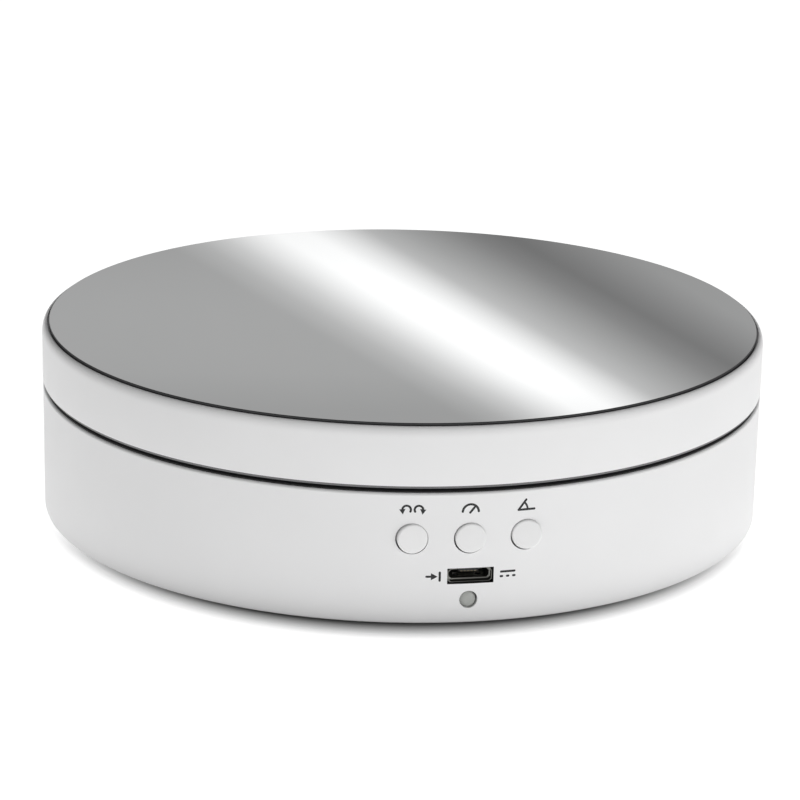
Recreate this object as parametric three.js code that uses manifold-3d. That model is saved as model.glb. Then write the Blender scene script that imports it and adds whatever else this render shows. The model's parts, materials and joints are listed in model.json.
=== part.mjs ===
// A motorised turntable display stand: a round mirror-topped platter on a low drum.
// A small geared stepper motor under the deck turns the platter, which rolls on four
// wheels. Three push buttons, a micro power socket and an indicator sit in the front wall.
// Units are millimetres, +Z is up, the controls face -Y and the origin is the centre of
// the circle that the rubber feet stand on.
import * as THREE from "three";
import { mergeVertices } from "three/addons/utils/BufferGeometryUtils.js";
import Module from "manifold-3d";

const wasm = await Module();
wasm.setup();

// ---------------------------------------------------------------- driving dimensions
const PLATTER_R = 73; // outer radius of the turning top
const HEIGHT = 38.8; // feet to mirror
const COVER_Z = 1; // underside of the bottom cover, which the feet stand out from
const WALL_FOOT = 0.3; // the outer wall reaches lower than the cover, almost to the table
const WALL = 2.2; // thickness of the moulded walls
const SEAM_Z = 26; // top of the base's wall
const SEAM_GAP = 0.9; // running gap between base and platter

const BASE_R = PLATTER_R - 0.05; // at the seam
const BASE_FOOT_R = PLATTER_R; // at the foot
const BASE_INNER_R = PLATTER_R - 0.4 - WALL;
const DECK_T = 1.8;
const DECK_UNDER = SEAM_Z - DECK_T;
const SPIGOT = { inner: 68, outer: 69.6, top: 29.6 };
const SHAFT_HOLE_R = 5.5;

const MIRROR = { r: 71.65, t: 0.9 };
const AIR = 0.05; // gap left between pieces that touch
const RECESS_Z = HEIGHT - MIRROR.t - AIR;
const RIM_Z = HEIGHT - 0.47; // the mirror stands a little proud of the rim
const RECESS_R = 71.95;
const RIM_ROUND = { across: 1.0, down: 1.9 };
const PLATE_T = 2.5;
const PLATE_UNDER = RECESS_Z - PLATE_T;
const SKIRT_Z = SEAM_Z + SEAM_GAP;
const SKIRT_INNER_R = PLATTER_R - WALL;

const ROLLER = { r: 3.6, width: 4, bore: 1.1, pinR: 1, orbit: 60, side: 0.3, z: 30.2 };
const CHEEK = { t: 2, width: 5.4, top: 31.8 };
const TRACK = { inner: 57.5, outer: 62.5, z: ROLLER.z + ROLLER.r + AIR };
const RIB = { count: 6, width: 1.5, depth: 1.4, from: 10, to: 57.8 };

const COVER = { r: 70, t: 2, rimInner: 67.6, rimOuter: 69.4, rimTop: 5.4, gapHalf: 15, gapFrom: -55 };
const COVER_TOP = COVER_Z + COVER.t;
const MOTOR_REST = { inner: 6, outer: 8 };
const CORNER = { orbit: 62, count: 4, postR: 3.2, holeR: 1.1, holeTop: 12 };
const FOOT = { r: 6, orbit: 56, count: 4, sunk: 0.6 };

const BUTTON = {
  pitch: 10.67, z: 17, holeR: 3, capR: 2.85, flangeR: 3.7, flangeT: 0.8, proud: 0.45,
  stemR: 1.5,
};
const SWITCH = {
  front: -61, depth: 4, width: 6, top: 20, plungerR: 1.7, plungerOut: 2, bore: 1.85,
  boreDepth: 1.7,
};
const SOCKET = {
  x: 0.3, z: 9.65, cutW: 8.7, cutH: 3.05, w: 8.1, h: 2.6, mouth: -71.4, depth: 5.4, skin: 0.3,
  back: 0.9,
};
const TONGUE = { half: 1.9, recess: 0.7, low: 0.1, high: 0.65 };
const LED = { z: 5, holeR: 1.7, r: 1.5, tip: -71.7, length: 5.3, flangeR: 1.9, flangeT: 1 };
const LED_LEG = { x: 1.27, half: 0.25, reach: 2, bend: 0.5 };

const BOARD = { half: 21, rear: -44, arcR: 69, under: 11, t: 1.6 };
const BOARD_TOP = BOARD.under + BOARD.t;
const BOARD_SCREW = { x: 16.5, y: -49, postR: 2.6, holeR: 1.1, holeTop: 20 };
const HEADER = { w: 14.8, y0: -52, y1: -45.5, h: 6.2, skin: 0.9, back: 1.5 };
const PLUG = { play: 0.15, gap: 0.3, out: 3, wirePlay: 0.15 };
const CHIP = { length: 10, width: 4, t: 1.5, standoff: 0.1, leadT: 0.4, leadReach: 1, y: [-56.5, -48.5] };
const CAPACITOR = { x: 16.5, y: -57, r: 2.5, top: 19.1, round: 0.3 };

// Geared stepper: the can stands off-centre so that its output shaft is on the turning axis.
const CAN = { r: 14, skin: 0.8, offset: 8, bottom: 4.6, height: 19, round: 0.5 };
const CAN_WINDOW = { half: 4, z0: 7, z1: 15, depth: 3 };
const LID_T = 1;
const CAN_TOP = CAN.bottom + CAN.height;
const LID_Z = CAN_TOP - LID_T;
const EAR = { x: 17.5, r: 3.5, holeR: 2.1 };
const MOTOR_BOSS = { r: 4.5, t: 1.5, bushR: 3.3, shaftR: 2.5 };
const EAR_POST = { r: 3.2, top: 28.6, holeR: 1.45, holeTop: 28 };
const GEAR_PLATE = { z: 16.2, t: 0.8, holeR: 1.3, play: 0.1, sunk: 0.3 };
const ROTOR = { r: 7.2, z0: 6.2, z1: 15.6, shaftR: 0.75 };
const COIL = { inner: 8.6, outer: 12.8, h: 4.4, z: [5.9, 11.5] };
const POLE = { z: 10.5, t: 0.8, inner: 7.5, outer: 13, finger: 0.7, width: 1.8, reach: 3.8, count: 16 };
const WIRE_CAP = {
  half: 7.3, out: 3.4, rise: 0.6, height: 13.8, slotHalf: 3.1, slotHalfH: 0.8, slotDepth: 2,
};
const WIRE = {
  r: 0.62, pitchAtCap: 1.15, pitchAtPlug: 2.5, count: 5, startIn: 2.2, startZ: 11.5,
  endY: -42.2,
};

// Gear train, from the rotor to the output: module, tooth counts, floor of each level.
const MODULE = 0.3;
const BACKLASH = 0.1;
const DEDENDUM = 1.25; // root depth below the pitch circle, in modules
const FLANK = { root: 1.6, tip: 0.4 }; // a tooth's width there, as a share of its width at the pitch circle
const TEETH = {
  rotor: 9, wheel1: 32, pinion1: 11, wheel2: 22, pinion2: 9, wheel3: 26, pinion3: 10,
  output: 31,
};
const LEVEL = [17.3, 18.5, 19.7, 20.9];
const GEAR_T = 1;
const GEAR_PIN_R = 0.5;
const GEAR_BORE = 0.56;
const OUTPUT_T = 1.1;

const HUB = { flangeR: 10, flangeT: 2, r: 5.5, bottom: 27, screwR: 7.6 };
const HUB_PAD = { r: 11, t: 1.3 };
const HUB_TOP = PLATE_UNDER - HUB_PAD.t - AIR;
const SHAFT = { flatsFrom: 26.8, top: HUB_TOP - 0.3, flat: 1.5, play: 0.06 };

const FINE = 60; // facets round the drum
const ROUND = 24; // facets round the motor
const SMALL = 12; // facets round screws, pins and holes

// ------------------------------------------------------------------------- materials
const paint = (color, roughness, metalness = 0) =>
  new THREE.MeshStandardMaterial({ color, roughness, metalness });
const MATERIAL = {
  shell: paint(0xf1f1f1, 0.35),
  button: paint(0xf4f4f4, 0.3),
  mirror: paint(0xd9d9d9, 0.03, 1),
  rubber: paint(0x2a2a2a, 0.9),
  steel: paint(0xb9bcc0, 0.3, 1),
  plated: paint(0xa9adb2, 0.35, 1),
  brass: paint(0xc9a35a, 0.35, 1),
  copper: paint(0xb8693a, 0.4, 1),
  magnet: paint(0x3b3b3d, 0.6),
  gear: paint(0xf2efe6, 0.45),
  roller: paint(0xdcdcd8, 0.5),
  board: paint(0x1f6b3a, 0.45),
  black: paint(0x1b1b1c, 0.5),
  connector: paint(0xefeadb, 0.5),
  wireCap: paint(0x2c62b8, 0.4),
  wire: paint(0xc8452f, 0.5),
  lens: paint(0xbfc2c0, 0.2),
};

// --------------------------------------------------------------------- shape helpers
/** A closed three.js geometry as a solid that can be joined and cut. */
function solid(geometry) {
  const plain = geometry.clone();
  plain.deleteAttribute("normal");
  plain.deleteAttribute("uv");
  const merged = mergeVertices(plain, 1e-4);
  const mesh = new wasm.Mesh({
    numProp: 3,
    vertProperties: new Float32Array(merged.attributes.position.array),
    triVerts: new Uint32Array(merged.index.array),
  });
  return new wasm.Manifold(mesh);
}

/** A solid's faces as a three.js geometry. */
function faces(made) {
  const mesh = made.getMesh();
  const geometry = new THREE.BufferGeometry();
  geometry.setAttribute("position", new THREE.BufferAttribute(mesh.vertProperties, 3));
  geometry.setIndex(new THREE.BufferAttribute(mesh.triVerts, 1));
  geometry.computeVertexNormals();
  return geometry;
}

/** Turns a list of [radius, z] points, anticlockwise in the half plane, about the Z axis. */
function turned(profile, segments = SMALL) {
  const points = profile.map(([r, z]) => new THREE.Vector2(r, z));
  return new THREE.LatheGeometry(points, segments).rotateX(Math.PI / 2);
}

/** A ring profile closed on itself, for turned(). */
const ring = (inner, outer, z0, z1) => [
  [inner, z0],
  [outer, z0],
  [outer, z1],
  [inner, z1],
  [inner, z0],
];

/** A disc profile that starts and ends on the axis, for turned(). */
const disc = (r, z0, z1) => [
  [0, z0],
  [r, z0],
  [r, z1],
  [0, z1],
];

const tube = (inner, outer, z0, z1, segments) => turned(ring(inner, outer, z0, z1), segments);
const rod = (r, z0, z1, segments) => turned(disc(r, z0, z1), segments);

/** A box between two corners. */
function block(x0, x1, y0, y1, z0, z1) {
  const box = new THREE.BoxGeometry(x1 - x0, y1 - y0, z1 - z0);
  return box.translate((x0 + x1) / 2, (y0 + y1) / 2, (z0 + z1) / 2);
}

/** A rod along Y from y0 to y1, such as a cutter for the front wall. */
function rodAlongY(r, y0, y1, x, z, segments = SMALL) {
  return rod(r, -y1, -y0, segments).rotateX(Math.PI / 2).translate(x, 0, z);
}

function slab(shape, z0, z1, curveSegments = SMALL) {
  const options = { depth: z1 - z0, bevelEnabled: false, curveSegments };
  return new THREE.ExtrudeGeometry(shape, options).translate(0, 0, z0);
}

const joined = (first, ...rest) => rest.reduce((sum, next) => sum.add(solid(next)), solid(first));
const cutBy = (made, ...cutters) => cutters.reduce((left, next) => left.subtract(solid(next)), made);

/** Angles that share a circle evenly, from a first angle in radians. */
const spread = (count, first = 0) =>
  Array.from({ length: count }, (_, i) => first + (2 * Math.PI * i) / count);

const atAngle = (orbit, angle) => [orbit * Math.cos(angle), orbit * Math.sin(angle)];
const QUARTERS = spread(4);
const DIAGONALS = spread(4, Math.PI / 4);

const root = new THREE.Group();

function addMesh(name, made, material, parent = root) {
  const geometry = made.isBufferGeometry ? made : faces(made);
  const mesh = new THREE.Mesh(geometry, material);
  mesh.name = name;
  parent.add(mesh);
  return mesh;
}

/** A group that stands at a point of the frame, turned about Z. */
function place(x, y, z = 0, turn = 0) {
  const group = new THREE.Group();
  group.position.set(x, y, z);
  group.rotation.z = turn;
  root.add(group);
  return group;
}

/** Points of a quarter of an ellipse, from angle a0 to a1 in degrees. */
function arc(cx, cz, across, up, a0, a1, steps) {
  return Array.from({ length: steps + 1 }, (_, i) => {
    const a = THREE.MathUtils.degToRad(a0 + ((a1 - a0) * i) / steps);
    return [cx + across * Math.cos(a), cz + up * Math.sin(a)];
  });
}

// ------------------------------------------------------------------------ the base
/** How far out the base's inner or outer wall stands at a sideways place x. */
const wallY = (radius, x) => -Math.sqrt(radius * radius - x * x);

/** Outer wall, deck and the low ring that hides the running gap, all one moulding. */
function baseShell() {
  const edge = 0.4;
  const lip = 0.3;
  const profile = [
    [BASE_INNER_R, WALL_FOOT],
    ...arc(BASE_FOOT_R - edge, WALL_FOOT + edge, edge, edge, -90, 0, 2),
    [BASE_R, SEAM_Z - lip],
    [BASE_R - lip, SEAM_Z],
    [SPIGOT.outer, SEAM_Z],
    [SPIGOT.outer, SPIGOT.top],
    [SPIGOT.inner, SPIGOT.top],
    [SPIGOT.inner, SEAM_Z],
    [SHAFT_HOLE_R, SEAM_Z],
    [SHAFT_HOLE_R, DECK_UNDER],
    [BASE_INNER_R, DECK_UNDER],
    [BASE_INNER_R, WALL_FOOT],
  ];
  const sunk = 0.5;
  const posts = DIAGONALS.map((angle) => {
    const post = tube(CORNER.holeR, CORNER.postR, COVER_TOP + AIR, CORNER.holeTop);
    const stem = rod(CORNER.postR, CORNER.holeTop, DECK_UNDER + sunk);
    const [x, y] = atAngle(CORNER.orbit, angle);
    return [post.translate(x, y, 0), stem.translate(x, y, 0)];
  });
  const boardPosts = [-1, 1].map((side) => {
    const post = tube(BOARD_SCREW.holeR, BOARD_SCREW.postR, BOARD_TOP + AIR, BOARD_SCREW.holeTop);
    const stem = rod(BOARD_SCREW.postR, BOARD_SCREW.holeTop, DECK_UNDER + sunk);
    const x = side * BOARD_SCREW.x;
    return [post.translate(x, BOARD_SCREW.y, 0), stem.translate(x, BOARD_SCREW.y, 0)];
  });
  const earPosts = [-1, 1].map((side) => {
    const post = rod(EAR_POST.r, CAN_TOP + AIR, EAR_POST.top);
    return post.translate(side * EAR.x, -CAN.offset, 0);
  });
  const cheeks = QUARTERS.flatMap((angle) => rollerCheeks(sunk).map((c) => c.rotateZ(angle)));
  const additions = [...posts.flat(), ...boardPosts.flat(), ...earPosts, ...cheeks];
  const moulded = joined(turned(profile, FINE), ...additions);
  return cutBy(moulded, ...earScrewHoles(), ...frontOpenings());
}

/** The two upright cheeks of one roller, with the hole for its pin, along +X. */
function rollerCheeks(sunk) {
  const half = ROLLER.width / 2 + ROLLER.side;
  const sides = [ROLLER.orbit - half - CHEEK.t, ROLLER.orbit + half];
  return sides.map((x0) => {
    const outline = new THREE.Shape();
    const w = CHEEK.width / 2;
    const low = SEAM_Z - sunk;
    outline.moveTo(-w, low);
    outline.lineTo(w, low);
    outline.lineTo(w, ROLLER.z);
    outline.lineTo(w * 0.6, CHEEK.top);
    outline.lineTo(-w * 0.6, CHEEK.top);
    outline.lineTo(-w, ROLLER.z);
    const hole = new THREE.Path();
    hole.absarc(0, ROLLER.z, ROLLER.pinR + AIR, 0, 2 * Math.PI, true);
    outline.holes.push(hole);
    const raise = { depth: CHEEK.t, bevelEnabled: false, curveSegments: 8 };
    const cheek = new THREE.ExtrudeGeometry(outline, raise);
    return cheek.rotateX(Math.PI / 2).rotateZ(Math.PI / 2).translate(x0, 0, 0);
  });
}

function earScrewHoles() {
  return [-1, 1].map((side) => {
    const hole = rod(EAR_POST.holeR, CAN_TOP - 1, EAR_POST.holeTop);
    return hole.translate(side * EAR.x, -CAN.offset, 0);
  });
}

/** Cutters for the three button holes, the socket's slot and the indicator's hole. */
function frontOpenings() {
  const y0 = -BASE_R - 1;
  const pastWall = 4;
  const y1 = wallY(BASE_INNER_R, 0) + pastWall;
  const buttons = buttonPlaces().map((x) => rodAlongY(BUTTON.holeR, y0, y1, x, BUTTON.z, ROUND));
  const [w, h] = [SOCKET.cutW / 2, SOCKET.cutH / 2];
  const slot = block(SOCKET.x - w, SOCKET.x + w, y0, y1, SOCKET.z - h, SOCKET.z + h);
  const lamp = rodAlongY(LED.holeR, y0, y1, 0, LED.z);
  return [...buttons, slot, lamp];
}

/** The plate that closes the base from below, with its locating rim and motor rest. */
function bottomCover() {
  const sunk = 0.5;
  const play = 0.3;
  const plate = joined(
    rod(COVER.r, COVER_Z, COVER_TOP, FINE),
    tube(COVER.rimInner, COVER.rimOuter, COVER_TOP - sunk, COVER.rimTop, FINE),
    tube(MOTOR_REST.inner, MOTOR_REST.outer, COVER_TOP - sunk, CAN.bottom - AIR, ROUND)
      .translate(0, -CAN.offset, 0),
  );
  const head = coverScrewSizes();
  const screwHoles = DIAGONALS.flatMap((angle) => {
    const [x, y] = atAngle(CORNER.orbit, angle);
    const shank = rod(head.shankR + play, COVER_Z - 1, COVER_TOP + 1);
    const seat = rod(head.headR + play, COVER_Z - 1, COVER_Z + head.headT + AIR);
    return [shank.translate(x, y, 0), seat.translate(x, y, 0)];
  });
  const footSeats = QUARTERS.map((angle) => {
    const [x, y] = atAngle(FOOT.orbit, angle);
    return rod(FOOT.r + play, COVER_Z - 1, COVER_Z + FOOT.sunk, ROUND).translate(x, y, 0);
  });
  const gapForControls = block(
    -COVER.gapHalf, COVER.gapHalf, -BASE_R, COVER.gapFrom, COVER_TOP, COVER.rimTop + 1);
  return cutBy(plate, ...screwHoles, ...footSeats, gapForControls);
}

function foot() {
  const soft = 0.4;
  const top = COVER_Z + FOOT.sunk - AIR;
  return turned([[0, 0], [FOOT.r - soft, 0], [FOOT.r, soft], [FOOT.r, top], [0, top]], ROUND);
}

// --------------------------------------------------------------------- the platter
/** Top plate, rim and skirt, with the track that the rollers bear on and ribs. */
function platter() {
  const chamfer = 0.35;
  const round = arc(
    PLATTER_R - RIM_ROUND.across, RIM_Z - RIM_ROUND.down, RIM_ROUND.across, RIM_ROUND.down, 0, 90, 3);
  const profile = [
    [0, PLATE_UNDER],
    [TRACK.inner, PLATE_UNDER],
    [TRACK.inner, TRACK.z],
    [TRACK.outer, TRACK.z],
    [TRACK.outer, PLATE_UNDER],
    [SKIRT_INNER_R, PLATE_UNDER],
    [SKIRT_INNER_R, SKIRT_Z],
    [PLATTER_R - chamfer, SKIRT_Z],
    [PLATTER_R, SKIRT_Z + chamfer],
    ...round,
    [RECESS_R, RIM_Z],
    [RECESS_R, RECESS_Z],
    [0, RECESS_Z],
  ];
  const sunk = 0.4;
  const pad = rod(HUB_PAD.r, PLATE_UNDER - HUB_PAD.t, PLATE_UNDER + sunk, ROUND);
  const ribs = spread(RIB.count, Math.PI / RIB.count).map((angle) =>
    block(RIB.from, RIB.to, -RIB.width / 2, RIB.width / 2, PLATE_UNDER - RIB.depth, PLATE_UNDER + sunk)
      .rotateZ(angle));
  const screwHoles = [-1, 1].map((side) =>
    rod(hubScrewSizes().shankR + 0.1, PLATE_UNDER - HUB_PAD.t - 1, RECESS_Z - 0.4)
      .translate(side * HUB.screwR, 0, 0));
  return cutBy(joined(turned(profile, FINE), pad, ...ribs), ...screwHoles);
}

function mirror() {
  const bevel = 0.15;
  const z0 = HEIGHT - MIRROR.t;
  return turned(
    [[0, z0], [MIRROR.r, z0], [MIRROR.r, HEIGHT - bevel], [MIRROR.r - bevel, HEIGHT], [0, HEIGHT]], FINE);
}

/** A circle of radius r with two flats at +-flat from the centre line. */
function doubleD(r, flat) {
  const half = Math.asin(flat / r);
  const outline = new THREE.Shape();
  outline.absarc(0, 0, r, -half, half, false);
  outline.absarc(0, 0, r, Math.PI - half, Math.PI + half, false);
  outline.closePath();
  return outline;
}

/** The flanged coupling that takes the shaft's flats and is screwed under the platter. */
function driveHub() {
  const flangeZ = HUB_TOP - HUB.flangeT;
  const body = turned([
    [0, HUB.bottom],
    [HUB.r, HUB.bottom],
    [HUB.r, flangeZ],
    [HUB.flangeR, flangeZ],
    [HUB.flangeR, HUB_TOP],
    [0, HUB_TOP],
  ], ROUND);
  const shaftHole = doubleD(MOTOR_BOSS.shaftR + SHAFT.play, SHAFT.flat + SHAFT.play);
  const bore = slab(shaftHole, HUB.bottom - 1, HUB_TOP + 1, 8);
  const holes = [-1, 1].map((side) =>
    rod(hubScrewSizes().shankR + 0.15, flangeZ - 1, HUB_TOP + 1).translate(side * HUB.screwR, 0, 0));
  return cutBy(solid(body), bore, ...holes);
}

// ------------------------------------------------------------------------- screws
/** A pan-head screw pointing up, its head's face at z0. */
function screw({ headR, headT, shankR, length }, z0) {
  const tip = shankR * 0.8;
  return turned([
    [0, z0],
    [headR, z0],
    [headR, z0 + headT],
    [shankR, z0 + headT],
    [shankR, z0 + headT + length - tip],
    [shankR * 0.3, z0 + headT + length],
    [0, z0 + headT + length],
  ]);
}

const coverScrewSizes = () => ({ headR: 2.6, headT: 1.1, shankR: 1.0, length: 9 });
const hubScrewSizes = () => ({ headR: 2, headT: 1.2, shankR: 1.0, length: 4.6 });
const motorScrewSizes = () => ({ headR: 2.7, headT: 1.5, shankR: 1.35, length: 4.6 });
const boardScrewSizes = () => ({ headR: 2.1, headT: 1.3, shankR: 1.0, length: 7 });

// --------------------------------------------------------------------- the rollers
function roller() {
  const half = ROLLER.width / 2;
  const soft = 0.4;
  return turned([
    [ROLLER.bore, -half],
    [ROLLER.r - soft, -half],
    [ROLLER.r, soft - half],
    [ROLLER.r, half - soft],
    [ROLLER.r - soft, half],
    [ROLLER.bore, half],
    [ROLLER.bore, -half],
  ], 20).rotateY(Math.PI / 2);
}

function rollerPin() {
  const reach = ROLLER.width / 2 + ROLLER.side + CHEEK.t;
  return rod(ROLLER.pinR, -reach, reach).rotateY(Math.PI / 2);
}

// ---------------------------------------------------------------------- the motor
/** The drawn steel can, with a window in its side where the coil leads come out. */
function motorCan() {
  const { r, skin, bottom } = CAN;
  const cup = turned([
    [0, bottom],
    [r - CAN.round, bottom],
    [r, bottom + CAN.round],
    [r, LID_Z - AIR],
    [r - skin, LID_Z - AIR],
    [r - skin, bottom + skin],
    [0, bottom + skin],
  ], ROUND);
  const { half, z0, z1, depth } = CAN_WINDOW;
  return cutBy(solid(cup), block(-half, half, -r - 1, -r + depth, z0, z1));
}

/** The mounting plate with its two ears and the raised boss round the shaft. */
function motorLid() {
  const outline = new THREE.Shape();
  const lean = Math.acos((CAN.r - EAR.r) / EAR.x);
  outline.absarc(EAR.x, 0, EAR.r, -lean, lean, false);
  outline.absarc(0, 0, CAN.r, lean, Math.PI - lean, false);
  outline.absarc(-EAR.x, 0, EAR.r, Math.PI - lean, Math.PI + lean, false);
  outline.absarc(0, 0, CAN.r, Math.PI + lean, 2 * Math.PI - lean, false);
  const sunk = 0.2;
  const boss = rod(MOTOR_BOSS.r, LID_Z + sunk, CAN_TOP + MOTOR_BOSS.t, ROUND).translate(0, CAN.offset, 0);
  const pinEnd = LEVEL[1] + 0.02; // just above the first gear, which turns below this pin
  const pin = rod(GEAR_PIN_R, pinEnd, LID_Z + sunk).translate(...GEAR_2, 0);
  const plate = joined(slab(outline, LID_Z, CAN_TOP), boss, pin);
  const earHoles = [-1, 1].map((side) =>
    rod(EAR.holeR, LID_Z - 1, CAN_TOP + 1).translate(side * EAR.x, 0, 0));
  const bore = rod(MOTOR_BOSS.bushR, LID_Z - 1, CAN_TOP + MOTOR_BOSS.t + 1, ROUND)
    .translate(0, CAN.offset, 0);
  return cutBy(plate, ...earHoles, bore);
}

function shaftBush() {
  const play = 0.07;
  const below = 0.3;
  const bush = tube(
    MOTOR_BOSS.shaftR + play, MOTOR_BOSS.bushR - AIR, LID_Z - below, CAN_TOP + MOTOR_BOSS.t, ROUND);
  return bush.translate(0, CAN.offset, 0);
}

/** The dividing plate above the coils, with the riveted pins of gears 1 and 3. */
function gearPlate() {
  const top = GEAR_PLATE.z + GEAR_PLATE.t;
  const { holeR, play, sunk } = GEAR_PLATE;
  const plate = turned(ring(holeR, CAN.r - CAN.skin - play, GEAR_PLATE.z, top), ROUND);
  const pins = [GEAR_1, GEAR_3].map((at) => rod(GEAR_PIN_R, top - sunk, LID_Z - AIR).translate(...at, 0));
  return joined(plate, ...pins);
}

/** The shared pole ring with claws that reach up and down between rotor and coils. */
function statorPoles() {
  const plate = tube(POLE.inner, POLE.outer, POLE.z, POLE.z + POLE.t, ROUND);
  const claws = spread(POLE.count).map((angle, i) => {
    const up = i % 2 === 0;
    const z0 = up ? POLE.z : POLE.z - POLE.reach;
    const z1 = up ? POLE.z + POLE.t + POLE.reach : POLE.z + POLE.t;
    const claw = block(POLE.inner + AIR, POLE.inner + POLE.finger, -POLE.width / 2, POLE.width / 2, z0, z1);
    return claw.rotateZ(angle);
  });
  return joined(plate, ...claws);
}

const coil = (z) => tube(COIL.inner, COIL.outer, z, z + COIL.h, ROUND);

/** The moulded cap over the coil leads, hollowed to sit against the can. */
function wireCap() {
  const { half, out, rise, height, slotHalf, slotHalfH, slotDepth } = WIRE_CAP;
  const z0 = CAN.bottom + rise;
  const body = block(-half, half, -CAN.r - out, -CAN.r + 3, z0, z0 + height);
  const slot = block(
    -slotHalf, slotHalf,
    -CAN.r - out - 1, -CAN.r - slotDepth,
    WIRE_START.z - slotHalfH, WIRE_START.z + slotHalfH);
  const play = 0.3;
  return cutBy(solid(body), rod(CAN.r + play, 0, LID_Z, ROUND), slot);
}

const WIRE_START = { y: -CAN.offset - CAN.r - WIRE.startIn, z: WIRE.startZ };
const WIRE_END = { y: WIRE.endY, z: BOARD_TOP + HEADER.h / 2 };
// The slack bow of a lead, as steps in y and z from its start and, counted back, from its end.
const BOW_OUT = [[-3, -0.3], [-5.6, -3], [-9, -4.4]];
const BOW_IN = [[5, -5.2], [2.6, -0.8]];

/** One lead: out of the cap, down in a slack bow and up into the plug. */
function wirePath(i) {
  const side = i - (WIRE.count - 1) / 2;
  const x0 = side * WIRE.pitchAtCap;
  const x1 = side * WIRE.pitchAtPlug;
  const across = [x0, x0, (x0 + x1) / 2];
  return new THREE.CatmullRomCurve3([
    new THREE.Vector3(x0, WIRE_START.y, WIRE_START.z),
    ...BOW_OUT.map(([dy, dz], k) => new THREE.Vector3(across[k], WIRE_START.y + dy, WIRE_START.z + dz)),
    ...BOW_IN.map(([dy, dz]) => new THREE.Vector3(x1, WIRE_END.y + dy, WIRE_END.z + dz)),
    new THREE.Vector3(x1, WIRE_END.y, WIRE_END.z),
  ]);
}

/** The five leads, which lie side by side and touch where they leave the cap. */
function motorWires() {
  const section = new THREE.Shape();
  section.absarc(0, 0, WIRE.r, 0, 2 * Math.PI, false);
  const leads = Array.from({ length: WIRE.count }, (_, i) =>
    new THREE.ExtrudeGeometry(section, { steps: 9, curveSegments: 3, extrudePath: wirePath(i) }));
  return joined(...leads);
}

// ------------------------------------------------------------------- the gear train
/** Where the centre of a gear lies that is `far` from a and `near` from b, to the left of a to b. */
function apexOf(a, far, b, near) {
  const [dx, dy] = [b[0] - a[0], b[1] - a[1]];
  const d = Math.hypot(dx, dy);
  const along = (far * far - near * near + d * d) / (2 * d);
  const aside = Math.sqrt(far * far - along * along);
  return [a[0] + (along * dx - aside * -dy) / d, a[1] + (along * dy - aside * dx) / d];
}

const centreDistance = (a, b) => (MODULE * (a + b)) / 2;
// Centres, from the can's axis.
const OUTPUT_AT = [0, CAN.offset];
const GEAR_1 = atAngle(centreDistance(TEETH.rotor, TEETH.wheel1), THREE.MathUtils.degToRad(150));
const GEAR_3 = atAngle(centreDistance(TEETH.pinion3, TEETH.output), THREE.MathUtils.degToRad(-45))
  .map((v, i) => v + OUTPUT_AT[i]);
const GEAR_2 = apexOf(
  GEAR_1, centreDistance(TEETH.pinion1, TEETH.wheel2), GEAR_3, centreDistance(TEETH.pinion2, TEETH.wheel3));

/** The angle of a driven gear's first tooth, when the driver's first tooth is at `phase`. */
function meshPhase(driverAt, drivenAt, driverTeeth, drivenTeeth, phase) {
  const line = Math.atan2(drivenAt[1] - driverAt[1], drivenAt[0] - driverAt[0]);
  return line + Math.PI + Math.PI / drivenTeeth + ((line - phase) * driverTeeth) / drivenTeeth;
}

/** A spur gear's outline with a tooth at angle `phase`: straight flanks from root to tip. */
function gearShape(teeth, phase, bore) {
  const pitchR = (MODULE * teeth) / 2;
  const tipR = pitchR + MODULE;
  const rootR = pitchR - DEDENDUM * MODULE;
  const half = Math.PI / teeth / 2 - BACKLASH / 2 / pitchR;
  const flank = [
    [rootR, half * FLANK.root],
    [tipR, half * FLANK.tip],
  ];
  const outline = new THREE.Shape();
  const corners = spread(teeth, phase).flatMap((centre) => [
    ...flank.map(([r, a]) => [r, centre - a]),
    ...flank.toReversed().map(([r, a]) => [r, centre + a]),
  ]);
  outline.setFromPoints(corners.map(([r, a]) => new THREE.Vector2(...atAngle(r, a))));
  if (bore) {
    const hole = new THREE.Path();
    hole.absarc(0, 0, bore, 0, 2 * Math.PI, true);
    outline.holes.push(hole);
  }
  return outline;
}

/** A wheel with the next stage's pinion on top of it, both on one bore. */
function compoundGear(wheel, pinion, z, pinionTop) {
  const overlap = 0.1;
  return joined(
    slab(gearShape(wheel.teeth, wheel.phase, GEAR_BORE), z, z + GEAR_T, 6),
    slab(gearShape(pinion.teeth, pinion.phase, GEAR_BORE), z + GEAR_T - overlap, pinionTop, 6),
  );
}

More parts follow.
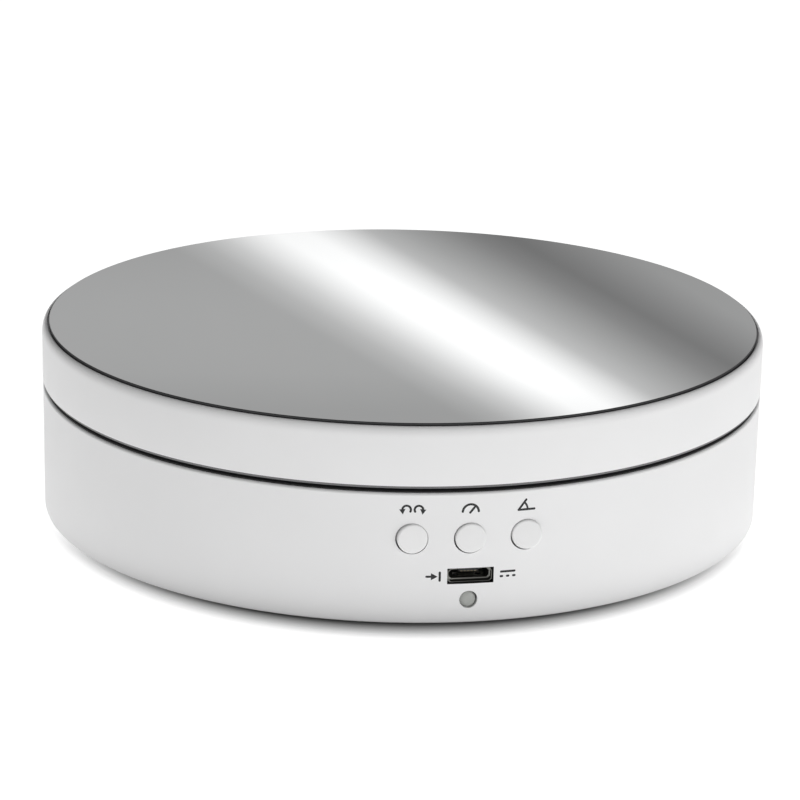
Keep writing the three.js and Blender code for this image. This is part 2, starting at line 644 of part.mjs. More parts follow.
/** Phases are worked out along the train from the rotor, so that every pair is in mesh. */
function addGearTrain(motor) {
  const phase1 = meshPhase([0, 0], GEAR_1, TEETH.rotor, TEETH.wheel1, 0);
  const phase2 = meshPhase(GEAR_1, GEAR_2, TEETH.pinion1, TEETH.wheel2, 0);
  const phase3 = meshPhase(GEAR_2, GEAR_3, TEETH.pinion2, TEETH.wheel3, 0);
  const phase4 = meshPhase(GEAR_3, OUTPUT_AT, TEETH.pinion3, TEETH.output, 0);

  const pinion = joined(
    rod(ROTOR.shaftR, CAN.bottom + CAN.skin + 2 * AIR, LEVEL[0]),
    slab(gearShape(TEETH.rotor, 0), LEVEL[0] - AIR, LEVEL[0] + GEAR_T),
  );
  addMesh("rotor_pinion", pinion, MATERIAL.brass, motor);
  const magnet = tube(ROTOR.shaftR + AIR, ROTOR.r, ROTOR.z0, ROTOR.z1, ROUND);
  addMesh("rotor_magnet", magnet, MATERIAL.magnet, motor);

  const stages = [
    ["gear_1", GEAR_1, { teeth: TEETH.wheel1, phase: phase1 }, { teeth: TEETH.pinion1, phase: 0 }, 0],
    ["gear_2", GEAR_2, { teeth: TEETH.wheel2, phase: phase2 }, { teeth: TEETH.pinion2, phase: 0 }, 1],
    ["gear_3", GEAR_3, { teeth: TEETH.wheel3, phase: phase3 }, { teeth: TEETH.pinion3, phase: 0 }, 2],
  ];
  for (const [name, at, wheel, next, level] of stages) {
    const made = compoundGear(wheel, next, LEVEL[level], LEVEL[level + 1] + GEAR_T);
    addMesh(name, made, MATERIAL.gear, motor).position.set(...at, 0);
  }
  addMesh("output_shaft", outputShaft(phase4), MATERIAL.steel, motor).position.set(...OUTPUT_AT, 0);
}

/** The output shaft with the last gear on it: round through the lid, two flats in the hub. */
function outputShaft(gearPhase) {
  const sunk = 0.1;
  return joined(
    slab(gearShape(TEETH.output, gearPhase), LEVEL[3], LEVEL[3] + OUTPUT_T),
    rod(MOTOR_BOSS.shaftR, LEVEL[3] + sunk, SHAFT.flatsFrom, ROUND),
    slab(doubleD(MOTOR_BOSS.shaftR, SHAFT.flat), SHAFT.flatsFrom - sunk, SHAFT.top, 6),
  );
}

// ------------------------------------------------------------------- the electronics
/** The board: straight sides and rear, and a front edge that follows the wall. */
function circuitBoard() {
  const outline = new THREE.Shape();
  const angle = Math.asin(BOARD.half / BOARD.arcR);
  outline.moveTo(BOARD.half, BOARD.rear);
  outline.lineTo(-BOARD.half, BOARD.rear);
  outline.absarc(0, 0, BOARD.arcR, -Math.PI / 2 - angle, -Math.PI / 2 + angle, false);
  for (const side of [-1, 1]) {
    const hole = new THREE.Path();
    hole.absarc(side * BOARD_SCREW.x, BOARD_SCREW.y, boardScrewSizes().shankR + 0.2, 0, 2 * Math.PI, true);
    outline.holes.push(hole);
  }
  return slab(outline, BOARD.under, BOARD_TOP);
}

/** The socket's outline, its upper corners cut off more than the lower ones. */
function socketShape(inset) {
  const w = SOCKET.w / 2 - inset;
  const h = SOCKET.h / 2 - inset;
  const [high, low] = [0.8, 0.45]; // how much the upper and lower corners are cut off
  const right = [[w - low, -h], [w, low - h], [w, h - high], [w - high, h]];
  const left = right.map(([x, y]) => [-x, y]).toReversed();
  return new THREE.Shape([...right, ...left].map(([x, y]) => new THREE.Vector2(x, y)));
}

function usbSocket() {
  const mouth = socketShape(SOCKET.skin);
  const skin = socketShape(0);
  const alongY = (shape, y0, y1) =>
    slab(shape, -y1, -y0).rotateX(Math.PI / 2).translate(SOCKET.x, 0, SOCKET.z);
  const back = SOCKET.mouth + SOCKET.depth;
  return cutBy(solid(alongY(skin, SOCKET.mouth, back)), alongY(mouth, SOCKET.mouth - 1, back - SOCKET.back));
}

function usbTongue() {
  const { half, recess, low, high } = TONGUE;
  const back = SOCKET.mouth + SOCKET.depth - SOCKET.back - AIR;
  return block(
    SOCKET.x - half, SOCKET.x + half, SOCKET.mouth + recess, back, SOCKET.z + low, SOCKET.z + high);
}

function indicator() {
  const back = LED.tip + LED.length;
  const dome = LED.tip + LED.r;
  const profile = [
    [0, -back],
    [LED.flangeR, -back],
    [LED.flangeR, LED.flangeT - back],
    [LED.r, LED.flangeT - back],
    ...arc(0, -dome, LED.r, LED.r, 0, 90, 3),
  ];
  const lens = turned(profile, SMALL).rotateX(Math.PI / 2).translate(0, 0, LED.z);
  const sunk = 0.2;
  const legs = [-1, 1].flatMap((side) => {
    const x = side * LED_LEG.x;
    const w = LED_LEG.half;
    const end = back + LED_LEG.reach;
    return [
      block(x - w, x + w, back - sunk, end, LED.z - w, LED.z + w),
      block(x - w, x + w, end - LED_LEG.bend, end, LED.z - w, BOARD.under - AIR),
    ];
  });
  return joined(lens, ...legs);
}

function switchBody() {
  const half = SWITCH.width / 2;
  const box = block(-half, half, SWITCH.front, SWITCH.front + SWITCH.depth, BOARD_TOP + AIR, SWITCH.top);
  const bore = rodAlongY(SWITCH.bore, SWITCH.front - 1, SWITCH.front + SWITCH.boreDepth, 0, BUTTON.z);
  return cutBy(solid(box), bore);
}

function switchPlunger() {
  const travel = 0.6; // room behind the plunger
  const [y0, y1] = [SWITCH.front - SWITCH.plungerOut, SWITCH.front + SWITCH.boreDepth - travel];
  return rodAlongY(SWITCH.plungerR, y0, y1, 0, BUTTON.z);
}

/** A small-outline chip under the board, with its gull-wing leads drawn as two strips. */
function chip(y) {
  const { length, width, t, standoff, leadT, leadReach } = CHIP;
  const top = BOARD.under - AIR;
  const [x, w, end] = [length / 2, width / 2, length / 2 - leadT];
  const body = block(-x, x, y - w, y + w, top - standoff - t, top - standoff);
  const strips = block(-end, end, y - w - leadReach, y + w + leadReach, top - leadT, top);
  return joined(body, strips);
}

function capacitor() {
  const { x, y, r, top, round } = CAPACITOR;
  const low = BOARD_TOP + AIR;
  return turned([[0, low], [r, low], [r, top - round], [r - round, top], [0, top]]).translate(x, y, 0);
}

function boardHeader() {
  const { w, y0, y1, h, skin, back } = HEADER;
  const z0 = BOARD_TOP + AIR;
  const shell = block(-w / 2, w / 2, y0, y1, z0, BOARD_TOP + h);
  const cavity = block(skin - w / 2, w / 2 - skin, y0 + back, y1 + 1, z0 + skin, BOARD_TOP + h - skin);
  return cutBy(solid(shell), cavity);
}

function wirePlug() {
  const { w, y0, y1, h, skin, back } = HEADER;
  const { play, gap, out } = PLUG;
  const half = w / 2 - skin - play;
  const [z0, z1] = [BOARD_TOP + skin + play + AIR, BOARD_TOP + h - skin - play];
  const body = block(-half, half, y0 + back + gap, y1 + out, z0, z1);
  const r = WIRE.r + PLUG.wirePlay;
  const holes = Array.from({ length: WIRE.count }, (_, i) => {
    const x = (i - (WIRE.count - 1) / 2) * WIRE.pitchAtPlug;
    return block(x - r, x + r, WIRE_END.y - 0.5, y1 + out + 1, WIRE_END.z - r, WIRE_END.z + r);
  });
  return cutBy(solid(body), ...holes);
}

// --------------------------------------------------------------------- the buttons
function buttonPlaces() {
  return [-BUTTON.pitch, 0, BUTTON.pitch];
}

/** A push button: crowned cap, retaining flange and the stem that meets the switch. */
function buttonCap(x) {
  const face = wallY(BASE_R, Math.abs(x)) - BUTTON.proud;
  const play = 0.25; // between the flange and the wall's inner face
  const flange = wallY(BASE_INNER_R, Math.abs(x) + BUTTON.flangeR) + play;
  const stemEnd = SWITCH.front - SWITCH.plungerOut - AIR;
  const crown = 0.35;
  const profile = [
    [0, -stemEnd],
    [BUTTON.stemR, -stemEnd],
    [BUTTON.stemR, -flange - BUTTON.flangeT],
    [BUTTON.flangeR, -flange - BUTTON.flangeT],
    [BUTTON.flangeR, -flange],
    [BUTTON.capR, -flange],
    ...arc(BUTTON.capR - crown, -face - crown, crown, crown, 0, 75, 2),
    [0, -face],
  ];
  return turned(profile, 20).rotateX(Math.PI / 2).translate(x, 0, BUTTON.z);
}

// -------------------------------------------------------------------- the assembly
addMesh("base_shell", baseShell(), MATERIAL.shell);
addMesh("bottom_cover", bottomCover(), MATERIAL.shell);
addMesh("platter", platter(), MATERIAL.shell);
addMesh("mirror_disc", mirror(), MATERIAL.mirror);
addMesh("drive_hub", driveHub(), MATERIAL.gear);

DIAGONALS.forEach((angle, i) => {
  const corner = place(...atAngle(CORNER.orbit, angle));
  addMesh(`cover_screw_${i + 1}`, screw(coverScrewSizes(), COVER_Z), MATERIAL.steel, corner);
});

QUARTERS.forEach((angle, i) => {
  addMesh(`foot_${i + 1}`, foot(), MATERIAL.rubber, place(...atAngle(FOOT.orbit, angle)));
  const axle = place(...atAngle(ROLLER.orbit, angle), ROLLER.z, angle);
  addMesh(`roller_${i + 1}`, roller(), MATERIAL.roller, axle);
  addMesh(`roller_pin_${i + 1}`, rollerPin(), MATERIAL.steel, axle);
});

[-1, 1].forEach((side, i) => {
  const { headT, length } = hubScrewSizes();
  const hubScrewZ = HUB_TOP - HUB.flangeT - headT - AIR;
  if (hubScrewZ + headT + length > RECESS_Z) throw new Error("the hub's screws reach the mirror");
  const hubScrew = screw(hubScrewSizes(), hubScrewZ);
  addMesh(`hub_screw_${i + 1}`, hubScrew, MATERIAL.steel, place(side * HUB.screwR, 0));
  const earZ = LID_Z - motorScrewSizes().headT - AIR;
  const motorScrew = screw(motorScrewSizes(), earZ);
  addMesh(`motor_screw_${i + 1}`, motorScrew, MATERIAL.steel, place(side * EAR.x, -CAN.offset));
  const boardZ = BOARD.under - boardScrewSizes().headT - AIR;
  const boardCorner = place(side * BOARD_SCREW.x, BOARD_SCREW.y);
  addMesh(`board_screw_${i + 1}`, screw(boardScrewSizes(), boardZ), MATERIAL.steel, boardCorner);
});

const motor = place(0, -CAN.offset);
addMesh("motor_can", motorCan(), MATERIAL.plated, motor);
addMesh("motor_lid", motorLid(), MATERIAL.plated, motor);
addMesh("shaft_bush", shaftBush(), MATERIAL.brass, motor);
addMesh("gear_plate", gearPlate(), MATERIAL.plated, motor);
addMesh("stator_poles", statorPoles(), MATERIAL.plated, motor);
addMesh("coil_lower", coil(COIL.z[0]), MATERIAL.copper, motor);
addMesh("coil_upper", coil(COIL.z[1]), MATERIAL.copper, motor);
addMesh("wire_cap", wireCap(), MATERIAL.wireCap, motor);
addGearTrain(motor);
addMesh("motor_wires", motorWires(), MATERIAL.wire);

addMesh("circuit_board", circuitBoard(), MATERIAL.board);
addMesh("usb_socket", usbSocket(), MATERIAL.plated);
addMesh("usb_tongue", usbTongue(), MATERIAL.black);
addMesh("indicator_led", indicator(), MATERIAL.lens);
addMesh("controller_chip", chip(CHIP.y[0]), MATERIAL.black);
addMesh("driver_chip", chip(CHIP.y[1]), MATERIAL.black);
addMesh("capacitor", capacitor(), MATERIAL.black);
addMesh("board_header", boardHeader(), MATERIAL.connector);
addMesh("wire_plug", wirePlug(), MATERIAL.connector);

["direction", "speed", "angle"].forEach((job, i) => {
  const x = buttonPlaces()[i];
  addMesh(`button_${job}`, buttonCap(x), MATERIAL.button);
  const cell = place(x, 0);
  addMesh(`switch_${job}`, switchBody(), MATERIAL.black, cell);
  addMesh(`plunger_${job}`, switchPlunger(), MATERIAL.black, cell);
});

export default root;
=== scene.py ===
# %% [markdown]
# # A mirror-topped turntable for showing small models
# The real thing is a low white drum. Its top turns, carries a round mirror, and is
# driven by a small geared motor under the deck. This lesson builds its looks around the
# fixed CAD frame: we never move a CAD part, we dress it or stand a finer piece in its place.
# Everything is in metres; sizes of pieces are written in millimetres and multiplied by MM.

# %% Load the fixed frame
import json
import math

import bmesh
import bpy
from mathutils import Matrix, Vector


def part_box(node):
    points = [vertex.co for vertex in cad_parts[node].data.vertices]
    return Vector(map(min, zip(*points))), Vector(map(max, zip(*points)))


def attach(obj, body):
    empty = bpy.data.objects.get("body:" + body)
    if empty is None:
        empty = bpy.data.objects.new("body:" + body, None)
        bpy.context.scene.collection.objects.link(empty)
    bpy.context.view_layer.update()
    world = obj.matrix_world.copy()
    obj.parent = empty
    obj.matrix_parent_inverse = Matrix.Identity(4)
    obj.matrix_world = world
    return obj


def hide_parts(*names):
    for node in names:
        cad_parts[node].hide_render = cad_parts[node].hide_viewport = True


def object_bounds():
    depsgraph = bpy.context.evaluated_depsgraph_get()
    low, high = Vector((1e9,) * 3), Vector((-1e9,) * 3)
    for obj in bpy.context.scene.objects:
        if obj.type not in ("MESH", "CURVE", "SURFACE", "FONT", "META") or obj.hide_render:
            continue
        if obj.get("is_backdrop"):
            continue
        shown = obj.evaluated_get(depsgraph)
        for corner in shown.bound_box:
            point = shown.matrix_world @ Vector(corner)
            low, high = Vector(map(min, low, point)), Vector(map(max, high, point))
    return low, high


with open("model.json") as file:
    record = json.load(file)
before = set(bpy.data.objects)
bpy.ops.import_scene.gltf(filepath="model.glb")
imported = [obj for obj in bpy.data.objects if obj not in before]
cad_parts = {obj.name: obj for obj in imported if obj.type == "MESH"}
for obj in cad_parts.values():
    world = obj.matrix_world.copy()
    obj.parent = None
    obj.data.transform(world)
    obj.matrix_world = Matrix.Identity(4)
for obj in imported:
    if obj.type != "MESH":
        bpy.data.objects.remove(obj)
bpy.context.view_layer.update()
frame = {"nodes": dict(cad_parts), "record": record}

MM = 0.001

# %% [markdown]
# ## The camera
# A low, round object is best shown from a little above with a long lens, so that the circle
# stays a calm ellipse. We could aim a camera with a constraint, but a matrix made from its
# three directions is exact and needs nothing else in the scene. The camera stands slightly
# to the left of the controls and is rolled by about one degree.

# %% Camera
VIEW_TURN = math.radians(-10.35)  # round the stand, away from the controls
VIEW_HEIGHT = math.radians(17.33)
VIEW_ROLL = math.radians(1.2)
VIEW_DISTANCE = 620 * MM
ORBIT_CENTRE = Vector((0, 0, 21 * MM))
AIM = Vector((-0.27 * MM, 0.05 * MM, 20.76 * MM))
LENS = 135.9

stand_off = Vector((
    math.sin(VIEW_TURN) * math.cos(VIEW_HEIGHT),
    -math.cos(VIEW_TURN) * math.cos(VIEW_HEIGHT),
    math.sin(VIEW_HEIGHT),
))
eye = ORBIT_CENTRE + stand_off * VIEW_DISTANCE
forward = (AIM - eye).normalized()
level_right = forward.cross(Vector((0, 0, 1))).normalized()
level_up = level_right.cross(forward)
right = level_right * math.cos(VIEW_ROLL) + level_up * math.sin(VIEW_ROLL)
up = right.cross(forward)

camera = bpy.data.objects.new("camera", bpy.data.cameras.new("camera"))
bpy.context.scene.collection.objects.link(camera)
camera.data.lens = LENS
camera.data.sensor_width = 36
camera.data.clip_start = 0.01
camera.data.clip_end = 50
camera.matrix_world = Matrix.Translation(eye) @ Matrix((right, up, -forward)).transposed().to_4x4()
bpy.context.scene.camera = camera
bpy.context.scene.view_settings.view_transform = "Standard"
print("camera stands at", [round(v, 3) for v in eye])

# %% [markdown]
# ## Writing shaders as sums
# A procedural finish is mostly arithmetic on noise. Wiring Math nodes by hand hides the
# arithmetic, so we wrap a socket in a small class whose operators add the Math nodes for
# us. `1 - mask` then reads as it is meant. Colours never go through these operators,
# because a Math node would turn them grey: they are blended by a Mix node instead.

# %% Signal and Recipe
class Signal:
    """One output socket of a shader, usable in ordinary sums."""

    def __init__(self, recipe, socket):
        self.recipe = recipe
        self.socket = socket

    def maths(self, operation, *values):
        inputs = dict(enumerate(values))
        return self.recipe.add("ShaderNodeMath", {"operation": operation}, inputs)

    def __add__(self, other):
        return self.maths("ADD", self, other)

    def __sub__(self, other):
        return self.maths("SUBTRACT", self, other)

    def __rsub__(self, other):
        return self.maths("SUBTRACT", other, self)

    def __mul__(self, other):
        return self.maths("MULTIPLY", self, other)

    def __truediv__(self, other):
        return self.maths("DIVIDE", self, other)

    __radd__ = __add__
    __rmul__ = __mul__


class Recipe:
    """The node tree of one finish, or of the world."""

    def __init__(self, tree):
        self.tree = tree

    def add(self, kind, settings=None, inputs=None, output=0):
        """Adds a node: its settings first, then the values or links of its sockets."""
        node = self.tree.nodes.new(kind)
        for name, value in (settings or {}).items():
            if name == "stops":
                self.set_stops(node.color_ramp, value)
            else:
                setattr(node, name, value)
        for name, value in (inputs or {}).items():
            self.feed(node.inputs[name], value)
        return Signal(self, node.outputs[output])

    def feed(self, socket, value):
        if isinstance(value, Signal):
            self.tree.links.new(value.socket, socket)
        else:
            socket.default_value = value

    @staticmethod
    def set_stops(ramp, stops):
        """Stops are (place, grey level) or (place, (r, g, b)) pairs."""
        while len(ramp.elements) < len(stops):
            ramp.elements.new(0.5)
        for element, (place, level) in zip(ramp.elements, stops):
            element.position = place
            colour = level if isinstance(level, tuple) else (level, level, level)
            element.color = (*colour, 1)

    def blend(self, share, first, second):
        """A colour between two, by a Mix node. Its colour sockets are numbers 6 and 7."""
        ends = [c if isinstance(c, Signal) else (*c, 1) for c in (first, second)]
        inputs = {0: share, 6: ends[0], 7: ends[1]}
        return self.add("ShaderNodeMix", {"data_type": "RGBA"}, inputs, output=2)

    def dimmed(self, colour, share):
        """A colour multiplied by another, by a Mix node."""
        settings = {"data_type": "RGBA", "blend_type": "MULTIPLY"}
        return self.add("ShaderNodeMix", settings, {0: 1.0, 6: colour, 7: share}, output=2)

    def place(self):
        return self.add("ShaderNodeTexCoord", output="Object")

    def noise(self, size_mm, detail=2, stretch=None):
        """Noise whose blotches are about size_mm across; stretch scales the axes."""
        where = self.place()
        if stretch:
            where = self.add("ShaderNodeMapping", {}, {"Vector": where, "Scale": stretch})
        inputs = {"Vector": where, "Scale": 1 / (size_mm * MM), "Detail": detail}
        return self.add("ShaderNodeTexNoise", {}, inputs)

    def bump(self, height, depth_mm):
        return self.add("ShaderNodeBump", {}, {"Height": height, "Distance": depth_mm * MM})


def tinted(colour, share):
    """The same colour, lighter or darker by a share."""
    return tuple(min(1.0, c * (1 + share)) for c in colour)


def surface(name, constants=None):
    """A new material: its recipe and its Principled shader."""
    material = bpy.data.materials.new(name)
    material.use_nodes = True
    recipe = Recipe(material.node_tree)
    shader = material.node_tree.nodes["Principled BSDF"]
    for socket, value in (constants or {}).items():
        shader.inputs[socket].default_value = value
    return material, recipe, shader


# %% [markdown]
# ## The finishes
# Almost everything is moulded plastic or small plated steel. A moulded face is never quite
# even: it has a very fine orange peel from the tool, slow changes of gloss, and a trace of
# tone where the plastic flowed. We could paint this on an image, but noise in object space
# needs no unwrapping, keeps its scale in millimetres and travels with the piece.

# %% Moulded plastic
def moulded(name, colour, gloss, peel_mm=0.35, peel_depth=0.002, tone=0.02):
    """Moulded plastic: gloss is its mean roughness, peel the fine waviness of its skin."""
    material, recipe, shader = surface(name, {"IOR": 1.5})
    slow = recipe.noise(18, detail=3)
    colour_now = recipe.blend(slow, tinted(colour, -tone), tinted(colour, tone))
    recipe.feed(shader.inputs["Base Color"], colour_now)
    rough = gloss + (recipe.noise(6, detail=4) - 0.5) * 0.12
    recipe.feed(shader.inputs["Roughness"], rough)
    peel = recipe.noise(peel_mm, detail=2)
    recipe.feed(shader.inputs["Normal"], recipe.bump(peel, peel_depth))
    return material


WHITE = moulded("white_moulding", (0.81, 0.81, 0.812), 0.4)
BUTTON_WHITE = moulded("button_moulding", (0.80, 0.80, 0.80), 0.4, peel_mm=0.25)
GEAR_NYLON = moulded("gear_nylon", (0.80, 0.78, 0.70), 0.5)
WHEEL_PLASTIC = moulded("wheel_acetal", (0.62, 0.62, 0.60), 0.42)
BLACK = moulded(
    "black_moulding", (0.018, 0.018, 0.02), 0.45, peel_mm=0.2, peel_depth=0.004, tone=0.2)
CREAM = moulded("connector_moulding", (0.78, 0.74, 0.62), 0.45)
BLUE = moulded("wire_cap_moulding", (0.03, 0.11, 0.42), 0.35, tone=0.08)
INK = moulded("printed_ink", (0.012, 0.012, 0.013), 0.55, peel_mm=0.1, tone=0.3)
GLUE_BLACK = moulded("mirror_edge_paint", (0.02, 0.02, 0.022), 0.35, tone=0.3)
# Painted shade: a dark grey for the band along the platter skirt's lower edge, beside the dark gap.
PAINTED_EDGE_SHADE = moulded("skirt_edge_painted_shade", (0.14, 0.14, 0.145), 0.6, tone=0.1)
# Painted shade: a matt black for the faces in the running gap and in the inlet's window, which lie in
# shadow.
SHADOW_BLACK = moulded("painted_gap_shadow", (0.012, 0.012, 0.013), 0.75, peel_mm=0.3, tone=0.3)
print("moulded finishes:", len(bpy.data.materials))

# %% [markdown]
# ## The mirror
# The top is a thin round mirror. A metallic surface with almost no roughness is enough: a
# sheet of glass over a silvered back would double every reflection and cost much more time.
# What makes it real is the little that is wrong with it, so faint wiping marks raise the
# roughness by a hair here and there. The ground edge of the glass is dark.

# %% Mirror silver
def mirror_silver():
    material, recipe, shader = surface("mirror_silver", {"Metallic": 1.0})
    wiped = recipe.noise(9, detail=5, stretch=(1.0, 0.25, 1.0))
    tone = recipe.blend(wiped, (0.86, 0.87, 0.87), (0.89, 0.895, 0.895))
    recipe.feed(shader.inputs["Base Color"], tone)
    recipe.feed(shader.inputs["Roughness"], 0.008 + wiped * 0.02)
    return material


SILVER = mirror_silver()

# %% [markdown]
# ## Metals, rubber and the board
# Turned and drawn metal shows fine lines, so its noise is stretched along one direction
# before it feeds the roughness and a shallow bump. Rubber is dull with a coarse grain. The
# board is green lacquer with a woven glass mat faintly showing through it.

# %% Metals, rubber, lacquered board, lamp
def metal(name, colour, gloss, stretch=(1.0, 1.0, 12.0), tone=0.06):
    """Worked metal; stretch sets which way its fine lines run."""
    material, recipe, shader = surface(name, {"Metallic": 1.0})
    lines = recipe.noise(1.2, detail=4, stretch=stretch)
    worked = recipe.blend(lines, tinted(colour, -tone), tinted(colour, tone))
    recipe.feed(shader.inputs["Base Color"], worked)
    recipe.feed(shader.inputs["Roughness"], gloss + (lines - 0.5) * 0.16)
    recipe.feed(shader.inputs["Normal"], recipe.bump(lines, 0.003))
    return material


def rubber(name, colour):
    material, recipe, shader = surface(name, {"IOR": 1.45})
    grain = recipe.noise(0.4, detail=4)
    dusty = recipe.blend(grain, tinted(colour, -0.2), tinted(colour, 0.3))
    recipe.feed(shader.inputs["Base Color"], dusty)
    recipe.feed(shader.inputs["Roughness"], 0.78 + (grain - 0.5) * 0.2)
    recipe.feed(shader.inputs["Normal"], recipe.bump(grain, 0.02))
    return material


def lacquered_board():
    material, recipe, shader = surface("board_lacquer", {"Coat Weight": 0.3})
    weave = recipe.add(
        "ShaderNodeTexChecker", {}, {"Vector": recipe.place(), "Scale": 1 / (0.8 * MM)}, output="Fac")
    cloud = recipe.noise(3, detail=3)
    shade = weave * 0.25 + cloud * 0.75
    green = recipe.blend(shade, (0.010, 0.110, 0.040), (0.020, 0.175, 0.065))
    recipe.feed(shader.inputs["Base Color"], green)
    recipe.feed(shader.inputs["Roughness"], 0.32 + cloud * 0.12)
    recipe.feed(shader.inputs["Normal"], recipe.bump(weave, 0.004))
    return material


def milky_lens():
    """An unlit lamp: grey, cloudy plastic, darker and lighter in soft clouds."""
    constants = {"IOR": 1.5, "Subsurface Weight": 0.2, "Subsurface Radius": (MM, MM, MM)}
    material, recipe, shader = surface("lamp_lens", constants)
    cloud = recipe.noise(1.6, detail=3)
    milk = recipe.blend(cloud, (0.33, 0.34, 0.325), (0.47, 0.48, 0.455))
    recipe.feed(shader.inputs["Base Color"], milk)
    recipe.feed(shader.inputs["Roughness"], 0.28 + cloud * 0.1)
    return material


STEEL = metal("screw_steel", (0.60, 0.61, 0.62), 0.3)
TURNED_STEEL = metal("shaft_steel", (0.66, 0.66, 0.67), 0.22, stretch=(1.0, 1.0, 30.0))
PLATED = metal("plated_sheet", (0.56, 0.56, 0.57), 0.34, stretch=(8.0, 1.0, 1.0))
TIN = metal("socket_tin", (0.2, 0.2, 0.185), 0.34, stretch=(6.0, 1.0, 1.0))
BRASS = metal("turned_brass", (0.72, 0.52, 0.24), 0.3, stretch=(1.0, 1.0, 20.0))
CONTACT = metal("contact_alloy", (0.22, 0.19, 0.14), 0.35)
COPPER = metal("wound_copper", (0.62, 0.24, 0.09), 0.36, stretch=(1.0, 1.0, 9.0), tone=0.2)
FERRITE = metal("rotor_ferrite", (0.10, 0.10, 0.105), 0.6)
FOOT_RUBBER = rubber("foot_rubber", (0.022, 0.022, 0.023))
BOARD = lacquered_board()
LENS_PLASTIC = milky_lens()
print("finishes in all:", len(bpy.data.materials))

# %% [markdown]
# ## Tools for making pieces
# Most pieces here come off a lathe, so the main tool spins an outline about the upright
# axis. Blender's Screw modifier does that too, but building the rings ourselves leaves no
# doubled points at the seam or the axis. Flat pieces are an outline with holes, filled and
# raised. Holes and posts are cut and joined with exact Booleans, applied at once, so that
# what rides on the frame is a plain closed mesh.

# %% Turned and raised pieces
ROUND = 240  # facets round the drum, fine enough to look smooth on its edge


def new_piece(name, bm):
    bmesh.ops.recalc_face_normals(bm, faces=bm.faces)
    mesh = bpy.data.meshes.new(name)
    bm.to_mesh(mesh)
    bm.free()
    piece = bpy.data.objects.new(name, mesh)
    bpy.context.scene.collection.objects.link(piece)
    return piece


def smooth(piece, sharp=32):
    """Soft shading, except across edges sharper than the given degrees."""
    piece.data.polygons.foreach_set("use_smooth", [True] * len(piece.data.polygons))
    piece.data.set_sharp_from_angle(angle=math.radians(sharp))
    return piece


def turned(name, outline, facets=48, radius_at=None):
    """Spins (radius, height) points about Z. The outline starts and ends on the axis, or
    closes on itself. radius_at(radius, height, angle) may change the radius round the turn."""
    bm = bmesh.new()
    rings = []
    for r, z in outline:
        if r < 1e-6:
            rings.append([bm.verts.new((0, 0, z * MM))])
            continue
        ring = []
        for i in range(facets):
            angle = 2 * math.pi * i / facets
            here = radius_at(r, z, angle) if radius_at else r
            spot = (here * math.cos(angle) * MM, here * math.sin(angle) * MM, z * MM)
            ring.append(bm.verts.new(spot))
        rings.append(ring)
    if outline[0][0] > 1e-6:
        rings.append(rings[0])
    for low, high in zip(rings, rings[1:]):
        join_rings(bm, low, high)
    return smooth(new_piece(name, bm))


def join_rings(bm, low, high):
    """Faces between two rings of points; a ring of one point closes to a tip."""
    for i in range(max(len(low), len(high))):
        j = i + 1
        corners = [low[i % len(low)], low[j % len(low)], high[j % len(high)], high[i % len(high)]]
        kept = [v for k, v in enumerate(corners) if v is not corners[k - 1]]
        if len(kept) > 2:
            bm.faces.new(kept)


def raised(name, outline, z0, z1, holes=()):
    """A flat outline of (x, y) points with holes in it, raised from z0 to z1."""
    bm = bmesh.new()
    edges = []
    for loop in (outline, *holes):
        verts = [bm.verts.new((x * MM, y * MM, z0 * MM)) for x, y in loop]
        edges += [bm.edges.new((verts[i - 1], verts[i])) for i in range(len(verts))]
    bmesh.ops.triangle_fill(bm, use_beauty=True, use_dissolve=True, edges=edges)
    lifted = bmesh.ops.extrude_face_region(bm, geom=bm.faces[:])["geom"]
    upper = [v for v in lifted if isinstance(v, bmesh.types.BMVert)]
    bmesh.ops.translate(bm, vec=(0, 0, (z1 - z0) * MM), verts=upper)
    return smooth(new_piece(name, bm))


def block(name, low, high):
    """A box between two corners in millimetres, to be cut, joined or eased."""
    corners = [(low[0], low[1]), (high[0], low[1]), (high[0], high[1]), (low[0], high[1])]
    return raised(name, corners, low[2], high[2])


def arc(cx, cz, across, rise, start, end, steps=8):
    """Points of part of an ellipse about (cx, cz), from start to end in degrees."""
    angles = [math.radians(start + (end - start) * i / steps) for i in range(steps + 1)]
    return [(cx + across * math.cos(a), cz + rise * math.sin(a)) for a in angles]


def circle(r, x=0.0, y=0.0, steps=24):
    return arc(x, y, r, r, 0, 360, steps)[:-1]


# %% [markdown]
# Moving a finished mesh is done on its points, so that every object stays at the origin as
# the frame's own nodes do, and its object-space noise is in true millimetres.

# %% Moving, cutting, joining and easing
def moved(piece, x=0.0, y=0.0, z=0.0, turn=0.0, tilt=None):
    """Tilts about (degrees, axis), then turns about Z, then shifts, in millimetres."""
    matrix = Matrix.Translation((x * MM, y * MM, z * MM)) @ Matrix.Rotation(turn, 4, "Z")
    if tilt:
        matrix = matrix @ Matrix.Rotation(math.radians(tilt[0]), 4, tilt[1])
    piece.data.transform(matrix)
    return piece


def applied(piece):
    """The piece with its modifiers made real."""
    evaluated = piece.evaluated_get(bpy.context.evaluated_depsgraph_get())
    made = bpy.data.meshes.new_from_object(evaluated)
    piece.modifiers.clear()
    old = piece.data
    piece.data = made
    bpy.data.meshes.remove(old)
    return piece


def boolean(piece, others, operation):
    for other in others:
        step = piece.modifiers.new(operation, "BOOLEAN")
        step.operation = operation
        step.solver = "EXACT"
        step.object = other
    applied(piece)
    for other in others:
        bpy.data.objects.remove(other)
    return smooth(piece)


def cut(piece, *cutters):
    return boolean(piece, cutters, "DIFFERENCE")


def joined(piece, *others):
    return boolean(piece, others, "UNION")


def eased(piece, width, steps=2, angle=40):
    """Takes the sharpness off every edge, as a mould or a tumbling drum does."""
    step = piece.modifiers.new("ease", "BEVEL")
    step.width = width * MM
    step.segments = steps
    step.limit_method = "ANGLE"
    step.angle_limit = math.radians(angle)
    return smooth(applied(piece), 50)


